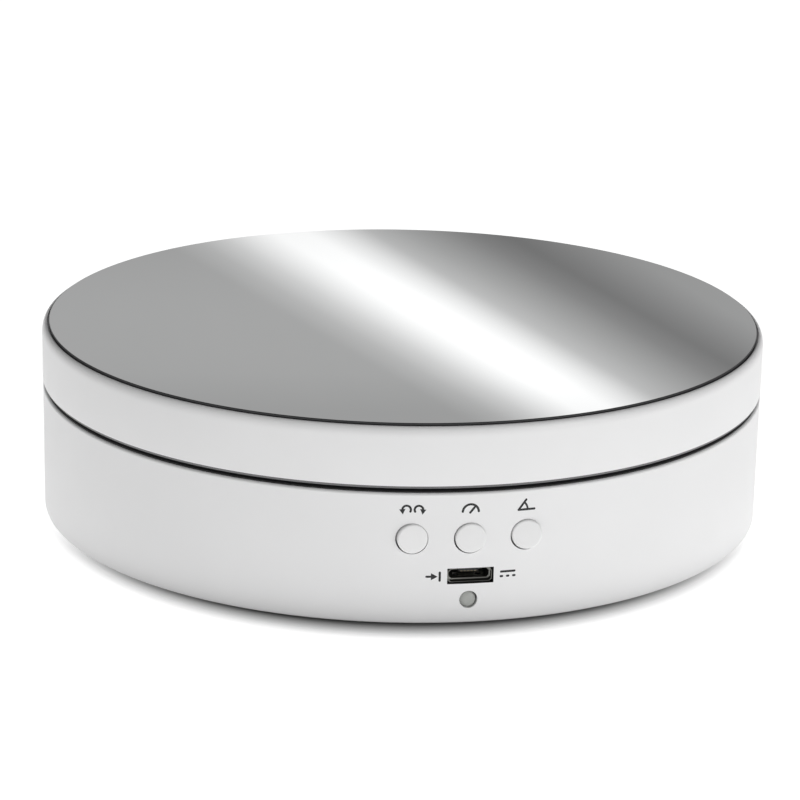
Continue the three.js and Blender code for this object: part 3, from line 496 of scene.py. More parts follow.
def grouped(name, pieces):
    """Several separate meshes as one piece."""
    bm = bmesh.new()
    for piece in pieces:
        bm.from_mesh(piece.data)
        bpy.data.objects.remove(piece)
    return smooth(new_piece(name, bm))


def rod(name, r, z0, z1, facets=32):
    return turned(name, [(0, z0), (r, z0), (r, z1), (0, z1)], facets)


def facing(piece, x, z):
    """Lays a piece down, so that its height runs towards the front, to (x, z)."""
    return moved(piece, x=x, z=z, tilt=(90, "X"))


def rod_along_y(name, r, y0, y1, x, z, facets=40):
    return facing(rod(name, r, -y1, -y0, facets), x, z)


def stood_up(piece, side=1):
    """Turns a raised outline so that it stands in the YZ plane, its height along X."""
    piece.data.transform(Matrix(((0, 0, 1, 0), (side, 0, 0, 0), (0, 1, 0, 0), (0, 0, 0, 1))))
    if side < 0:
        piece.data.flip_normals()
    return piece


# %% [markdown]
# Each finished piece does three things: it takes a finish, it rides on a body of the frame,
# and it says which CAD node it stands for. One function keeps that in one line.

# %% Showing a piece
body_of_node = {
    node: body for body, nodes in frame["record"]["behaviour"]["bodies"].items() for node in nodes
}


def extra(piece, node, *finishes):
    """A detail that rides with a node: same body, its own finish."""
    piece.data.materials.clear()
    for finish in finishes:
        piece.data.materials.append(finish)
    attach(piece, body_of_node[node])
    return piece


def show(piece, node, *finishes):
    """A piece that rides with a node and stands in its place."""
    extra(piece, node, *finishes)
    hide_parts(node)
    return piece


def span(node):
    """A node's lowest and highest corner, in millimetres."""
    low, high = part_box(node)
    return low / MM, high / MM


def middle_of(node):
    low, high = span(node)
    return (low + high) / 2


# %% [markdown]
# ## The turning top
# The platter is one moulding: a flat plate that holds the mirror, a rim whose shoulder is
# rounded more deeply than it is wide, and a skirt that hangs down to the running gap. The
# skirt's lower edge is rounded as well, and a band of dark grey painted shade along it softens
# the dark gap. A lathe outline gives all of that; ribs and the hub's pad are joined underneath.

# %% Platter
platter_low, platter_high = span("platter")
mirror_low, mirror_high = span("mirror_disc")
roller_low, roller_high = span("roller_1")
hub_top = span("drive_hub")[1].z

TOP_R = platter_high.x
WALL = 2.2
PLATE = 2.2
AIR = 0.05
RECESS_R = mirror_high.x + 0.3
RECESS_Z = mirror_low.z - AIR
PLATE_UNDER = RECESS_Z - PLATE
SHOULDER = (1.0, 1.9)  # across, down
LOWER_EDGE = 0.6
SHADED_BAND = 0.75  # height of the band of painted shade along the skirt's lower edge
SKIRT_Z = platter_low.z - 0.35  # the lower edge stands this close to the wall's lip
TRACK_R = (57.5, 62.5)
TRACK_Z = roller_high.z + AIR
RIB = (9.5, 57.7, 0.75, 1.4)  # from, to, half its thickness, depth
RIB_COUNT = 6
PAD_R = 11
SCREW_BORE_R = 1.1


def platter_outline():
    rim_z = platter_high.z
    shoulder = arc(TOP_R - SHOULDER[0], rim_z - SHOULDER[1], *SHOULDER, 0, 90, 12)
    lower = arc(TOP_R - LOWER_EDGE, SKIRT_Z + LOWER_EDGE, LOWER_EDGE, LOWER_EDGE, -90, 0, 7)
    inner_r = TOP_R - WALL
    return [
        (0, PLATE_UNDER),
        (TRACK_R[0], PLATE_UNDER),
        (TRACK_R[0], TRACK_Z),
        (TRACK_R[1], TRACK_Z),
        (TRACK_R[1], PLATE_UNDER),
        (inner_r - 1, PLATE_UNDER),
        (inner_r, PLATE_UNDER - 1),
        (inner_r, SKIRT_Z + 0.2),
        (inner_r + 0.2, SKIRT_Z),
        *lower,
        *shoulder,
        (RECESS_R + 0.04, rim_z),
        (RECESS_R, rim_z - 0.04),
        (RECESS_R, RECESS_Z),
        (0, RECESS_Z),
    ]


def make_platter():
    piece = turned("platter_moulding", platter_outline(), ROUND)
    additions = [rod("pad", PAD_R, hub_top + AIR, PLATE_UNDER + 0.5, 64)]
    start, end, half, depth = RIB
    for i in range(RIB_COUNT):
        rib = block("rib", (start, -half, PLATE_UNDER - depth), (end, half, PLATE_UNDER + 0.4))
        additions.append(moved(rib, turn=math.pi * (1 + 2 * i) / RIB_COUNT))
    joined(piece, *additions)
    holes = []
    for node in ("hub_screw_1", "hub_screw_2"):
        hole = rod("hole", SCREW_BORE_R, hub_top - 1, RECESS_Z - 0.45, 24)
        holes.append(moved(hole, x=middle_of(node).x))
    return cut(piece, *holes)


platter = show(make_platter(), "platter", WHITE, PAINTED_EDGE_SHADE)
# Material 1 is painted shade: the faces of the band along the skirt's lower edge take it.
for face in platter.data.polygons:
    spot = face.center / MM
    in_painted_shade = spot.z < SKIRT_Z + SHADED_BAND and spot.xy.length > TOP_R - WALL / 2
    face.material_index = 1 if in_painted_shade else 0
print("platter faces:", len(platter.data.polygons))

# %% [markdown]
# The mirror lies in its recess and stands about half a millimetre proud of the rim. Its
# ground and blackened edge, with the narrow gap round it, is the dark line that frames the
# reflection. Faces that look up take the silver, the rest take the edge's finish.

# %% Mirror
def make_mirror():
    r, arris = mirror_high.x, 0.12
    outline = [
        (0, mirror_low.z),
        (r - arris, mirror_low.z),
        (r, mirror_low.z + arris),
        (r, mirror_high.z - arris),
        (r - arris, mirror_high.z),
        (0, mirror_high.z),
    ]
    piece = turned("mirror_glass", outline, ROUND)
    show(piece, "mirror_disc", SILVER, GLUE_BLACK)
    for face in piece.data.polygons:
        face.material_index = 0 if face.normal.z > 0.9 else 1


make_mirror()
print("mirror is", round(2 * mirror_high.x, 1), "mm across")

# %% [markdown]
# ## The drum
# The base is one deep moulding: the outer wall with its rounded lower edge, the deck with its
# centre hole, a low ring that closes the view into the running gap, and the posts and wheel
# cheeks that stand on the deck or hang from it. Windows for the buttons, the power inlet and
# the lamp go through the front of the wall. A Boolean leaves long thin faces round such
# windows, and smooth shading would smear across them; so the wall's shading directions are
# then set by formula, straight out from the axis, and the windows stay crisp.
#
# The running gap and the sides of the inlet's window lie in shade and look black, so the shade is
# painted on them: the faces between the lip and the low ring, and the faces deep in that one
# window, take a matt black painted shade instead of the white. The rest of the deck stays white.

# %% Base shell
shell_low, shell_high = span("base_shell")
SEAM_Z = 26.0
FOOT_Z = shell_low.z + 0.15  # the wall's lower edge
FOOT_R = shell_high.x
BASE_R = FOOT_R - 0.05  # at the seam
INNER_R = FOOT_R - 0.4 - WALL
DECK_UNDER = SEAM_Z - 1.8
EDGE_R = 0.4
LIP = 0.5
LIP_Z = SEAM_Z - 0.25  # the wall's lip lies a little below the deck
SHAFT_HOLE_R = 5.5
RING = (68.0, 69.6, 29.6)  # inner radius, outer radius, top
BUTTON_HOLE_R = 3.0
INLET_HALF = (4.35, 1.525)  # half the inlet window's width and height
LAMP_HOLE_R = 1.7
LAMP_FLANGE_R = 1.9
LAMP_Z = span("indicator_led")[0].z + LAMP_FLANGE_R
JOBS = ("direction", "speed", "angle")  # what the three buttons do, from left to right


def base_outline():
    return [
        (INNER_R, FOOT_Z),
        *arc(FOOT_R - EDGE_R, FOOT_Z + EDGE_R, EDGE_R, EDGE_R, -90, 0, 8),
        *arc(BASE_R - LIP, LIP_Z - LIP, LIP, LIP, 0, 90, 5),
        (BASE_R - LIP, SEAM_Z),
        (RING[1], SEAM_Z),
        (RING[1], RING[2] - 0.2),
        (RING[1] - 0.2, RING[2]),
        (RING[0] + 0.2, RING[2]),
        (RING[0], RING[2] - 0.2),
        (RING[0], SEAM_Z),
        (SHAFT_HOLE_R, SEAM_Z),
        (SHAFT_HOLE_R, DECK_UNDER),
        (INNER_R - 0.8, DECK_UNDER),
        (INNER_R, DECK_UNDER - 0.8),
    ]


def wall_radius(z):
    """The wall leans in by a hair from its foot to the seam."""
    low = shell_low.z + EDGE_R
    return FOOT_R + (BASE_R - FOOT_R) * (z - low) / (LIP_Z - LIP - low)


def front_windows():
    """Cutters for the three button holes, the power inlet's slot and the lamp's hole."""
    y0, y1 = -BASE_R - 1, -INNER_R + 3.5
    cutters = []
    for job in JOBS:
        centre = middle_of(f"button_{job}")
        cutters.append(rod_along_y("hole", BUTTON_HOLE_R, y0, y1, centre.x, centre.z, 64))
    middle = middle_of("usb_socket")
    half_w, half_h = INLET_HALF
    corner = (middle.x - half_w, y0, middle.z - half_h)
    cutters.append(block("slot", corner, (middle.x + half_w, y1, middle.z + half_h)))
    cutters.append(rod_along_y("hole", LAMP_HOLE_R, y0, y1, 0, LAMP_Z, 40))
    return cutters


def wheel_cheeks(angle):
    """Two upright cheeks with a pin hole through both, beside one wheel."""
    axle = middle_of("roller_1")
    half_gap = (roller_high.x - roller_low.x) / 2 + 0.3
    low, half_w, top, thick, pin_hole_r = SEAM_Z - 0.5, 2.7, 31.8, 2.0, 1.05
    right_side = [(half_w, low), (half_w, axle.z), (half_w * 0.6, top)]
    outline = right_side + [(-x, z) for x, z in reversed(right_side)]
    made = []
    for start in (axle.x - half_gap - thick, axle.x + half_gap):
        cheek = stood_up(raised("cheek", outline, 0, thick, [circle(pin_hole_r, 0, axle.z)]))
        made.append(moved(moved(cheek, x=start), turn=angle))
    return made


# What each kind of screw holds on to: post radius, bore radius, where the post begins and
# where the bore ends. Cover and board posts hang from the deck and end inside it; motor
# posts go through the deck and end above it.
POSTS = {
    "cover_screw": (3.2, 1.1, 3.05, 12.0),
    "board_screw": (2.6, 1.1, 12.65, 20.0),
    "motor_screw": (3.2, 1.45, 23.65, 28.0),
}
MOTOR_POST_TOP = 28.6
MOTOR_BORE_R = 2.6


def post(kind, number):
    r, hole_r, bottom, hole_top = POSTS[kind]
    if kind == "motor_screw":
        upper = [(r, MOTOR_POST_TOP - 0.3), (r - 0.3, MOTOR_POST_TOP), (0, MOTOR_POST_TOP)]
    else:
        upper = [(r, DECK_UNDER + 0.5), (0, DECK_UNDER + 0.5)]
    outline = [(0, hole_top), (hole_r, hole_top), (hole_r, bottom), (r, bottom), *upper]
    place = middle_of(f"{kind}_{number}")
    return moved(turned("post", outline, 32), x=place.x, y=place.y)


def make_base():
    piece = turned("base_moulding", base_outline(), ROUND)
    additions = []
    for i in range(4):
        additions += wheel_cheeks(math.pi / 2 * i)
        additions.append(post("cover_screw", i + 1))
    additions += [post("board_screw", number) for number in (1, 2)]
    deck_bores = []
    for number in (1, 2):
        place = middle_of(f"motor_screw_{number}")
        bore = rod("bore", MOTOR_BORE_R, DECK_UNDER - 0.5, SEAM_Z + 0.5, 32)
        deck_bores.append(moved(bore, x=place.x, y=place.y))
        additions.append(post("motor_screw", number))
    cut(piece, *deck_bores, *front_windows())
    return joined(piece, *additions)


def set_wall_shading(piece):
    """Gives the outer wall the shading directions of the plain cone that it is."""
    mesh = piece.data
    directions = [Vector(c.vector) for c in mesh.corner_normals]
    low, high = shell_low.z + EDGE_R, LIP_Z - LIP
    lean = (BASE_R - FOOT_R) / (high - low)
    for face in mesh.polygons:
        points = [mesh.vertices[v].co / MM for v in face.vertices]
        upright = all(low - 0.01 < p.z < high + 0.01 for p in points)
        if upright and all(abs(p.xy.length - wall_radius(p.z)) < 0.02 for p in points):
            for corner, p in zip(face.loop_indices, points):
                directions[corner] = Vector((p.x, p.y, -lean * p.xy.length)).normalized()
    mesh.normals_split_custom_set(directions)
    return piece


def paint_shade_on_hidden_faces(piece):
    """Material 1, a painted black shade, in the running gap, ring included, and on the inlet window's
    sides.
    """
    middle = middle_of("usb_socket")
    half_w, half_h = INLET_HALF
    for face in piece.data.polygons:
        spot = face.center / MM
        reaches = [piece.data.vertices[v].co.xy.length / MM for v in face.vertices]
        between = min(reaches) > RING[0] - 0.1 and max(reaches) < BASE_R - LIP + 0.05
        in_gap = between and spot.z > LIP_Z + 0.01
        near = abs(spot.x - middle.x) < half_w + 0.05 and abs(spot.z - middle.z) < half_h + 0.05
        in_window = near and spot.y < 0 and abs(face.normal.y) < 0.5
        face.material_index = 1 if in_gap or in_window else 0


base = show(set_wall_shading(make_base()), "base_shell", WHITE, SHADOW_BLACK)
# Material 1, painted shade, goes on the faces in the running gap and in the inlet's window.
paint_shade_on_hidden_faces(base)
print("base faces:", len(base.data.polygons))

# %% [markdown]
# ## The printed marks
# Small black marks tell what each control does. We print plain signs: two turning arrows for
# the direction, a dial for the speed, an angle for the swing, an arrow for the power inlet
# and the sign for direct current. Each stroke is a ribbon laid on the wall and bent round
# it, a few hundredths of a millimetre thick, so it is real geometry and not a picture.

# %% Ribbon strokes on the wall
INK_PROUD = 0.015
INK_SUNK = 0.03
STROKE = 0.42


def on_wall(along, z, lift):
    """The point on the wall at an arc length from the front and a height, lifted off it."""
    r = wall_radius(z)
    angle = along / r
    return Vector((math.sin(angle) * (r + lift), -math.cos(angle) * (r + lift), z)) * MM


def ribbon(bm, points, widths):
    """A closed strip along (along, z) points; widths holds its full width at each one."""
    rows = []
    for i, (x, z) in enumerate(points):
        before = points[max(i - 1, 0)]
        after = points[min(i + 1, len(points) - 1)]
        run = Vector((after[0] - before[0], after[1] - before[1])).normalized()
        side = Vector((-run.y, run.x)) * widths[i] / 2
        rows.append([
            bm.verts.new(on_wall(x + s * side.x, z + s * side.y, lift))
            for s, lift in ((1, INK_PROUD), (-1, INK_PROUD), (-1, -INK_SUNK), (1, -INK_SUNK))
        ])
    for a, b in zip(rows, rows[1:]):
        for k in range(4):
            bm.faces.new((a[k], a[(k + 1) % 4], b[(k + 1) % 4], b[k]))
    bm.faces.new(rows[0])
    bm.faces.new(reversed(rows[-1]))


def stroke(bm, points, width=STROKE):
    """An even stroke with half-round ends."""
    caps = [0.35, 0.75, 0.95]
    reach = [0.46, 0.33, 0.15]
    start, end = Vector(points[0]), Vector(points[-1])
    back = (start - Vector(points[1])).normalized()
    on = (end - Vector(points[-2])).normalized()
    head = [tuple(start + back * width * d) for d in reach]
    tail = [tuple(end + on * width * d) for d in reversed(reach)]
    widths = [width * c for c in caps] + [width] * len(points) + [width * c for c in reversed(caps)]
    ribbon(bm, head + list(points) + tail, widths)


def arrowhead(bm, tip, direction, size):
    """A solid triangle whose point is at tip."""
    way = Vector(direction).normalized()
    steps = 4
    points = [tuple(Vector(tip) - way * size * (1 - i / steps)) for i in range(steps + 1)]
    ribbon(bm, points, [max(size * 1.15 * (1 - i / steps), 0.03) for i in range(steps + 1)])


# %% The five signs
LABEL_Z = 22.75
SIDE_LABEL_Z = 9.65
SIDE_LABELS_X = (-6.65, 7.35)


def direction_sign(bm, x, z):
    """Two arrows that turn opposite ways."""
    for side in (-1, 1):
        points = arc(x + side * 1.12, z - 0.1, 0.78, 0.78, 90 + side * 118, 90 - side * 104, 14)
        stroke(bm, points, 0.4)
        end, before = Vector(points[-1]), Vector(points[-2])
        way = (end - before).normalized()
        arrowhead(bm, tuple(end + way * 0.72), way, 1.0)


def speed_sign(bm, x, z):
    """A dial with its needle."""
    foot = z - 0.7
    stroke(bm, arc(x, foot, 1.5, 1.5, 4, 176, 14))
    stroke(bm, [(x - 0.1, foot - 0.1), (x + 0.3, foot + 0.4), (x + 0.68, foot + 0.88)])


def angle_sign(bm, x, z):
    """Two arms and the arc between them."""
    left, foot = x - 1.6, z - 0.85
    stroke(bm, [(left + 1.45, foot + 1.9), (left + 0.7, foot + 0.92), (left, foot)])
    stroke(bm, [(left, foot), (left + 1.5, foot), (left + 3.1, foot)])
    stroke(bm, arc(left, foot, 1.75, 1.75, 5, 49), 0.36)


def inlet_sign(bm, x, z):
    """An arrow that runs into a wall."""
    stroke(bm, [(x - 1.25, z), (x - 0.6, z), (x, z)])
    arrowhead(bm, (x + 0.78, z), (1, 0), 1.2)
    stroke(bm, [(x + 1.2, z - 0.8), (x + 1.2, z), (x + 1.2, z + 0.8)])


def direct_current_sign(bm, x, z):
    """An unbroken line over a broken one."""
    rows = [(x, z + 0.45, 1.3)]  # middle, height and half length of each line
    rows += [(x + aside, z - 0.45, 0.14) for aside in (-1.2, 0, 1.2)]
    for centre, height, half in rows:
        stroke(bm, [(centre - half, height), (centre, height), (centre + half, height)])


def sign(name, draw, x, z):
    bm = bmesh.new()
    draw(bm, x, z)
    return extra(new_piece(name, bm), "base_shell", INK)


for job, draw in zip(JOBS, (direction_sign, speed_sign, angle_sign)):
    sign(f"mark_{job}", draw, middle_of(f"button_{job}").x, LABEL_Z)
sign("mark_inlet", inlet_sign, SIDE_LABELS_X[0], SIDE_LABEL_Z)
sign("mark_direct_current", direct_current_sign, SIDE_LABELS_X[1], SIDE_LABEL_Z)
print("five signs printed on the wall")

# %% [markdown]
# ## Buttons, power inlet and lamp
# The caps stand a little proud of the wall, with a generous round between face and side; a
# flange inside keeps them from falling out, and a stem meets the switch on the board. They
# fit loosely and have settled a tenth of a millimetre to the right, so that the gap shows as
# a crescent on their left.

# %% Buttons
CAP_R = 2.85
STEM_R = 1.5
FACE_ROUND = 0.35
SETTLED = (0.125, 0.05)  # how far a cap has settled aside in its hole


def make_button(job):
    node = f"button_{job}"
    low, high = span(node)
    centre = (low + high) / 2
    flange_r = (high.x - low.x) / 2
    # Seen along the push: heights run outwards, so the face is the highest point.
    back, front = -high.y, -low.y
    flange = math.sqrt(INNER_R**2 - (abs(centre.x) + flange_r) ** 2) - 0.25
    outline = [
        (0, back),
        (STEM_R, back),
        (STEM_R, flange - 0.8),
        (flange_r - 0.1, flange - 0.8),
        (flange_r, flange - 0.7),
        (flange_r, flange - 0.1),
        (flange_r - 0.1, flange),
        (CAP_R, flange),
        *arc(CAP_R - FACE_ROUND, front - FACE_ROUND - 0.04, FACE_ROUND, FACE_ROUND, 0, 90, 8),
        (1.2, front - 0.01),
        (0, front),
    ]
    cap = turned(f"{job}_button_cap", outline, 64)
    show(facing(cap, centre.x + SETTLED[0], centre.z + SETTLED[1]), node, BUTTON_WHITE)


for job in JOBS:
    make_button(job)
print("button caps", 2 * CAP_R, "mm across")

# %% [markdown]
# The inlet is a folded tin box whose mouth has cut corners and slightly flared lips, which
# reach almost to the wall's face. Inside it a black tongue carries five contacts. Folding it
# from one sheet would be true to life; here the box is raised from its outline and hollowed,
# and the lips are a second, slightly larger ring joined to the mouth.

# %% Power inlet
socket_low, socket_high = span("usb_socket")
tongue_low, tongue_high = span("usb_tongue")
SKIN = 0.28
LIPS_OUT = 0.8  # how far the flared lips reach towards the wall's face
LIPS_WIDER = 0.17
LATCH_IN = 1.95  # from the tin box's side to the middle of a latch's slot
CONTACTS = 5
CONTACT_PITCH = 0.65


def mouth(name, grow, start, end):
    """The mouth's outline, grown all round, from one depth to another."""
    w = (socket_high.x - socket_low.x) / 2 + grow
    h = (socket_high.z - socket_low.z) / 2 + grow
    high, low = 0.8, 0.45  # how far the upper and lower corners are cut
    half = [(w - low, -h), (w, low - h), (w, h - high), (w - high, h)]
    outline = half + [(-x, y) for x, y in reversed(half)]
    centre = middle_of("usb_socket")
    return facing(raised(name, outline, start, end), centre.x, centre.z)


def make_socket():
    front, back = -socket_low.y, -socket_high.y
    body = mouth("power_socket_shell", 0, back, front)
    joined(body, mouth("lips", LIPS_WIDER, front - 0.45, front + LIPS_OUT))
    hollow = mouth("hollow", -SKIN, back + 0.9, front + 1)
    flare = mouth("flare", 0, front - 0.3, front + 1)
    latches = []
    for x in (socket_low.x + LATCH_IN, socket_high.x - LATCH_IN):
        low = (x - 0.45, -front + 1.6, socket_low.z - 0.5)
        high = (x + 0.45, -front + 3.0, socket_low.z + 0.8)
        latches.append(block("latch", low, high))
    cut(body, hollow, flare, *latches)
    show(eased(body, 0.05), "usb_socket", TIN)


def make_tongue():
    piece = eased(block("power_socket_tongue", tongue_low, tongue_high), 0.1)
    show(piece, "usb_tongue", BLACK)
    contacts = []
    for i in range(CONTACTS):
        x = middle_of("usb_tongue").x + (i - (CONTACTS - 1) / 2) * CONTACT_PITCH
        low = (x - 0.16, tongue_low.y - 0.02, tongue_low.z - 0.04)
        high = (x + 0.16, tongue_high.y - 0.2, tongue_low.z + 0.12)
        contacts.append(block("contact", low, high))
    extra(grouped("power_socket_contacts", contacts), "usb_tongue", CONTACT)


make_socket()
make_tongue()

# %% [markdown]
# The lamp is a three millimetre one with a low round nose, a flange, and two legs bent up to
# the board. Its nose reaches almost to the wall's face and has settled towards the lower
# left, so a thin dark crescent of the hole is left at the upper right.

# %% Lamp
lamp_low, lamp_high = span("indicator_led")
LAMP_LENGTH = 5.3  # from the CAD lamp's tip to the back of its flange
LENS_R = 1.58
NOSE_OUT = 1.15  # how far the nose reaches into the wall's hole
NOSE_ROUND = 0.7
LAMP_SETTLED = (-0.06, -0.1)
LEG_PITCH = 2.54
LEG_HALF = 0.25


def make_lamp():
    tip = -lamp_low.y
    front, back = tip + NOSE_OUT, tip - LAMP_LENGTH
    outline = [
        (0, back),
        (LAMP_FLANGE_R, back),
        (LAMP_FLANGE_R, back + 0.95),
        (LENS_R, back + 1),
        *arc(0, front - NOSE_ROUND, LENS_R, NOSE_ROUND, 0, 90, 12)[:-1],
        (0, front),
    ]
    lens = turned("lamp_lens_body", outline, 40)
    lens = facing(lens, LAMP_SETTLED[0], LAMP_Z + LAMP_SETTLED[1])
    show(lens, "indicator_led", LENS_PLASTIC)
    legs = []
    for x in (-LEG_PITCH / 2, LEG_PITCH / 2):
        left, right, end = x - LEG_HALF, x + LEG_HALF, -back + 2
        reach = block("leg", (left, -back - 0.2, LAMP_Z - LEG_HALF), (right, end, LAMP_Z + LEG_HALF))
        rise = block("rise", (left, -back + 1.5, LAMP_Z), (right, end, lamp_high.z))
        legs.append(joined(reach, rise))
    extra(grouped("lamp_legs", legs), "indicator_led", STEEL)


make_lamp()

# %% [markdown]
# ## Underneath
# The stand rests on four soft feet glued into shallow seats in the cover, which four screws
# hold to the base. Nobody looks here often, yet it is the side that tells how the stand
# comes apart, so the seats, the screw pockets and the rim are all there.

# %% Bottom cover and feet
cover_low, cover_high = span("bottom_cover")
MOTOR_Y = -8  # the motor's can stands off the turning axis, towards the controls
PLATE_TOP = cover_low.z + 2
RIM = (67.6, 69.4)  # inner and outer radius of the rim that centres the cover in the drum
MOTOR_REST = (6.0, 8.0, 4.55)  # inner radius, outer radius, top
BOARD_GAP = (15, -55)  # half width and inner end of the rim's gap for the board
POCKET = (1.3, 2.9, 1.15)  # shank hole's radius, head pocket's radius and depth
SEAT = (6.2, 0.6)  # a foot's seat: radius, depth


def make_cover():
    r, ease = cover_high.x, 0.3
    outline = [
        (0, cover_low.z),
        *arc(r - 0.4, cover_low.z + 0.4, 0.4, 0.4, -90, 0, 4),
        (r, PLATE_TOP),
        (RIM[1], PLATE_TOP),
        (RIM[1], cover_high.z - ease),
        (RIM[1] - ease, cover_high.z),
        (RIM[0] + ease, cover_high.z),
        (RIM[0], cover_high.z - ease),
        (RIM[0], PLATE_TOP),
        (0, PLATE_TOP),
    ]
    piece = turned("bottom_plate", outline, ROUND)
    inner, outer, top = MOTOR_REST
    rest = [(inner, PLATE_TOP - 0.5), (outer, PLATE_TOP - 0.5), (outer, top), (inner, top)]
    joined(piece, moved(turned("rest", rest, 64), y=MOTOR_Y))
    half, end = BOARD_GAP
    cutters = [block("gap", (-half, -BASE_R, PLATE_TOP), (half, end, cover_high.z + 1))]
    hole_r, head_r, head_depth = POCKET
    step, below = cover_low.z + head_depth, cover_low.z - 1
    pocket = [(0, PLATE_TOP + 1), (hole_r, PLATE_TOP + 1), (hole_r, step), (head_r, step)]
    pocket += [(head_r, below), (0, below)]
    for number in range(1, 5):
        place = middle_of(f"cover_screw_{number}")
        cutters.append(moved(turned("pocket", pocket, 40), x=place.x, y=place.y))
        place = middle_of(f"foot_{number}")
        seat = rod("seat", SEAT[0], below, cover_low.z + SEAT[1], 64)
        cutters.append(moved(seat, x=place.x, y=place.y))
    show(cut(piece, *cutters), "bottom_cover", WHITE)


def make_foot(number):
    node = f"foot_{number}"
    low, high = span(node)
    place = middle_of(node)
    r, groove = (high.x - low.x) / 2, 0.12
    outline = [(0, groove)]
    for ridge in (1.3, 2.9, 4.5):
        outline += [(ridge - 0.35, groove), (ridge - 0.2, 0)]
        outline += [(ridge + 0.45, 0), (ridge + 0.6, groove)]
    outline += [*arc(r - 0.5, 0.5, 0.5, 0.5, -90, 0, 6), (r, high.z), (0, high.z)]
    piece = turned(f"rubber_foot_{number}", outline, 64)
    show(moved(piece, x=place.x, y=place.y), node, FOOT_RUBBER)


make_cover()
for number in range(1, 5):
    make_foot(number)
print("underside done")

# %% [markdown]
# ## Screws
# Every screw is a small pan head with a cross recess and a coarse thread that cuts its own
# way into the plastic. The thread needs no extra tool: while the shank is spun, its radius
# follows the height and the angle together, which winds a ridge round it.

# %% Screws
SCREWS = {  # kind: how many, head thickness, crest radius
    "cover_screw": (4, 1.1, 1.0),
    "hub_screw": (2, 1.2, 1.0),
    "motor_screw": (2, 1.5, 1.35),
    "board_screw": (2, 1.3, 1.0),
}
PITCH = 0.8


def threaded(core, crest):
    """A function that gives the radius of a threaded shank at a height and an angle."""

    def radius(r, z, angle):
        if r != core:
            return r
        turn = (z / PITCH - angle / (2 * math.pi)) % 1
        return core + (crest - core) * max(0, 1 - abs(turn - 0.5) * 4)

    return radius


def cross_outline(reach, half):
    """A plus sign: how far its arms reach and half their width."""
    quarter_turn = [(half, -half), (reach, -half), (reach, half)]
    outline = []
    for i in range(4):
        c, s = round(math.cos(math.pi / 2 * i)), round(math.sin(math.pi / 2 * i))
        outline += [(c * x - s * y, s * x + c * y) for x, y in quarter_turn]
    return outline


def make_screw(node, head_t, crest):
    low, high = span(node)
    place = middle_of(node)
    r = (high.x - low.x) / 2
    core = crest * 0.76
    shoulder, tip = low.z + head_t, high.z - crest * 0.8
    rings = int((tip - shoulder) / (PITCH / 6))
    shank = [(core, shoulder + (tip - shoulder) * i / rings) for i in range(rings + 1)]
    outline = [
        (0, low.z),
        (r * 0.7, low.z),
        (r * 0.92, low.z + head_t * 0.12),
        (r, low.z + head_t * 0.45),
        (r, shoulder - 0.08),
        (r - 0.08, shoulder),
        *shank,
        (core * 0.3, high.z),
        (0, high.z),
    ]
    piece = turned(f"{node}_steel", outline, 24, threaded(core, crest))
    cross = raised("cross", cross_outline(r * 0.6, r * 0.14), low.z - 0.1, low.z + head_t * 0.62)
    show(moved(cut(piece, cross), x=place.x, y=place.y), node, STEEL)


for kind, (count, head_t, crest) in SCREWS.items():
    for number in range(1, count + 1):
        make_screw(f"{kind}_{number}", head_t, crest)
print("screws:", sum(row[0] for row in SCREWS.values()))

# %% [markdown]
# ## Wheels
# Four small wheels carry the platter near its rim, so the little motor shaft only has to
# turn it. Each is dished between hub and tread to keep the moulding even in thickness, and
# runs on a steel pin pressed into the cheeks.

# %% Wheels and pins
WHEEL_R = 3.6
WHEEL_HALF = 2.0
WHEEL_BORE_R = 1.1
DISH = 0.3
PIN_R = 1.0
PIN_REACH = 4.3  # half its length


def mirrored(lower):
    """An outline whose upper half repeats the lower one."""
    return lower + [(r, -z) for r, z in reversed(lower)]


def make_wheel(number):
    def place(piece):
        turn = math.pi / 2 * (number - 1)
        return moved(piece, *middle_of(f"roller_{number}"), turn=turn, tilt=(90, "Y"))

    hub = [(WHEEL_BORE_R, -WHEEL_HALF), (1.85, -WHEEL_HALF), (2.0, -WHEEL_HALF + DISH)]
    rim = [(2.85, -WHEEL_HALF + DISH), (3.0, -WHEEL_HALF)]
    tread = arc(WHEEL_R - 0.4, -WHEEL_HALF + 0.4, 0.4, 0.4, -90, 0, 5)
    wheel = turned(f"wheel_{number}_tread", mirrored(hub + rim + tread), 48)
    show(place(wheel), f"roller_{number}", WHEEL_PLASTIC)
    end = [(0, -PIN_REACH), (PIN_R - 0.15, -PIN_REACH), (PIN_R, -PIN_REACH + 0.15)]
    pin = turned(f"wheel_{number}_pin", mirrored(end), 32)
    show(place(pin), f"roller_pin_{number}", TURNED_STEEL)


for number in range(1, 5):
    make_wheel(number)

# %% [markdown]
# ## The motor
# A small stepper with a gearbox in its lid. The drawn can is spun here with the rounded
# corner that drawing leaves, the coils get the ridges of their wire, and the magnet its
# ground chamfers. Stamped and moulded parts with odd outlines are taken from the frame and
# only lose the sharpness of their edges, because their outlines are already right.

# %% Finer copies of odd outlines
def softened(name, node, width, *finishes):
    """A copy of a CAD piece with its edges eased, standing for it."""
    bm = bmesh.new()
    bm.from_mesh(frame["nodes"][node].data)
    bmesh.ops.remove_doubles(bm, verts=bm.verts, dist=0.001 * MM)
    bmesh.ops.dissolve_limit(bm, angle_limit=math.radians(0.6), verts=bm.verts, edges=bm.edges)
    piece = eased(new_piece(name, bm), width, 1, 50)
    return show(piece, node, *finishes)


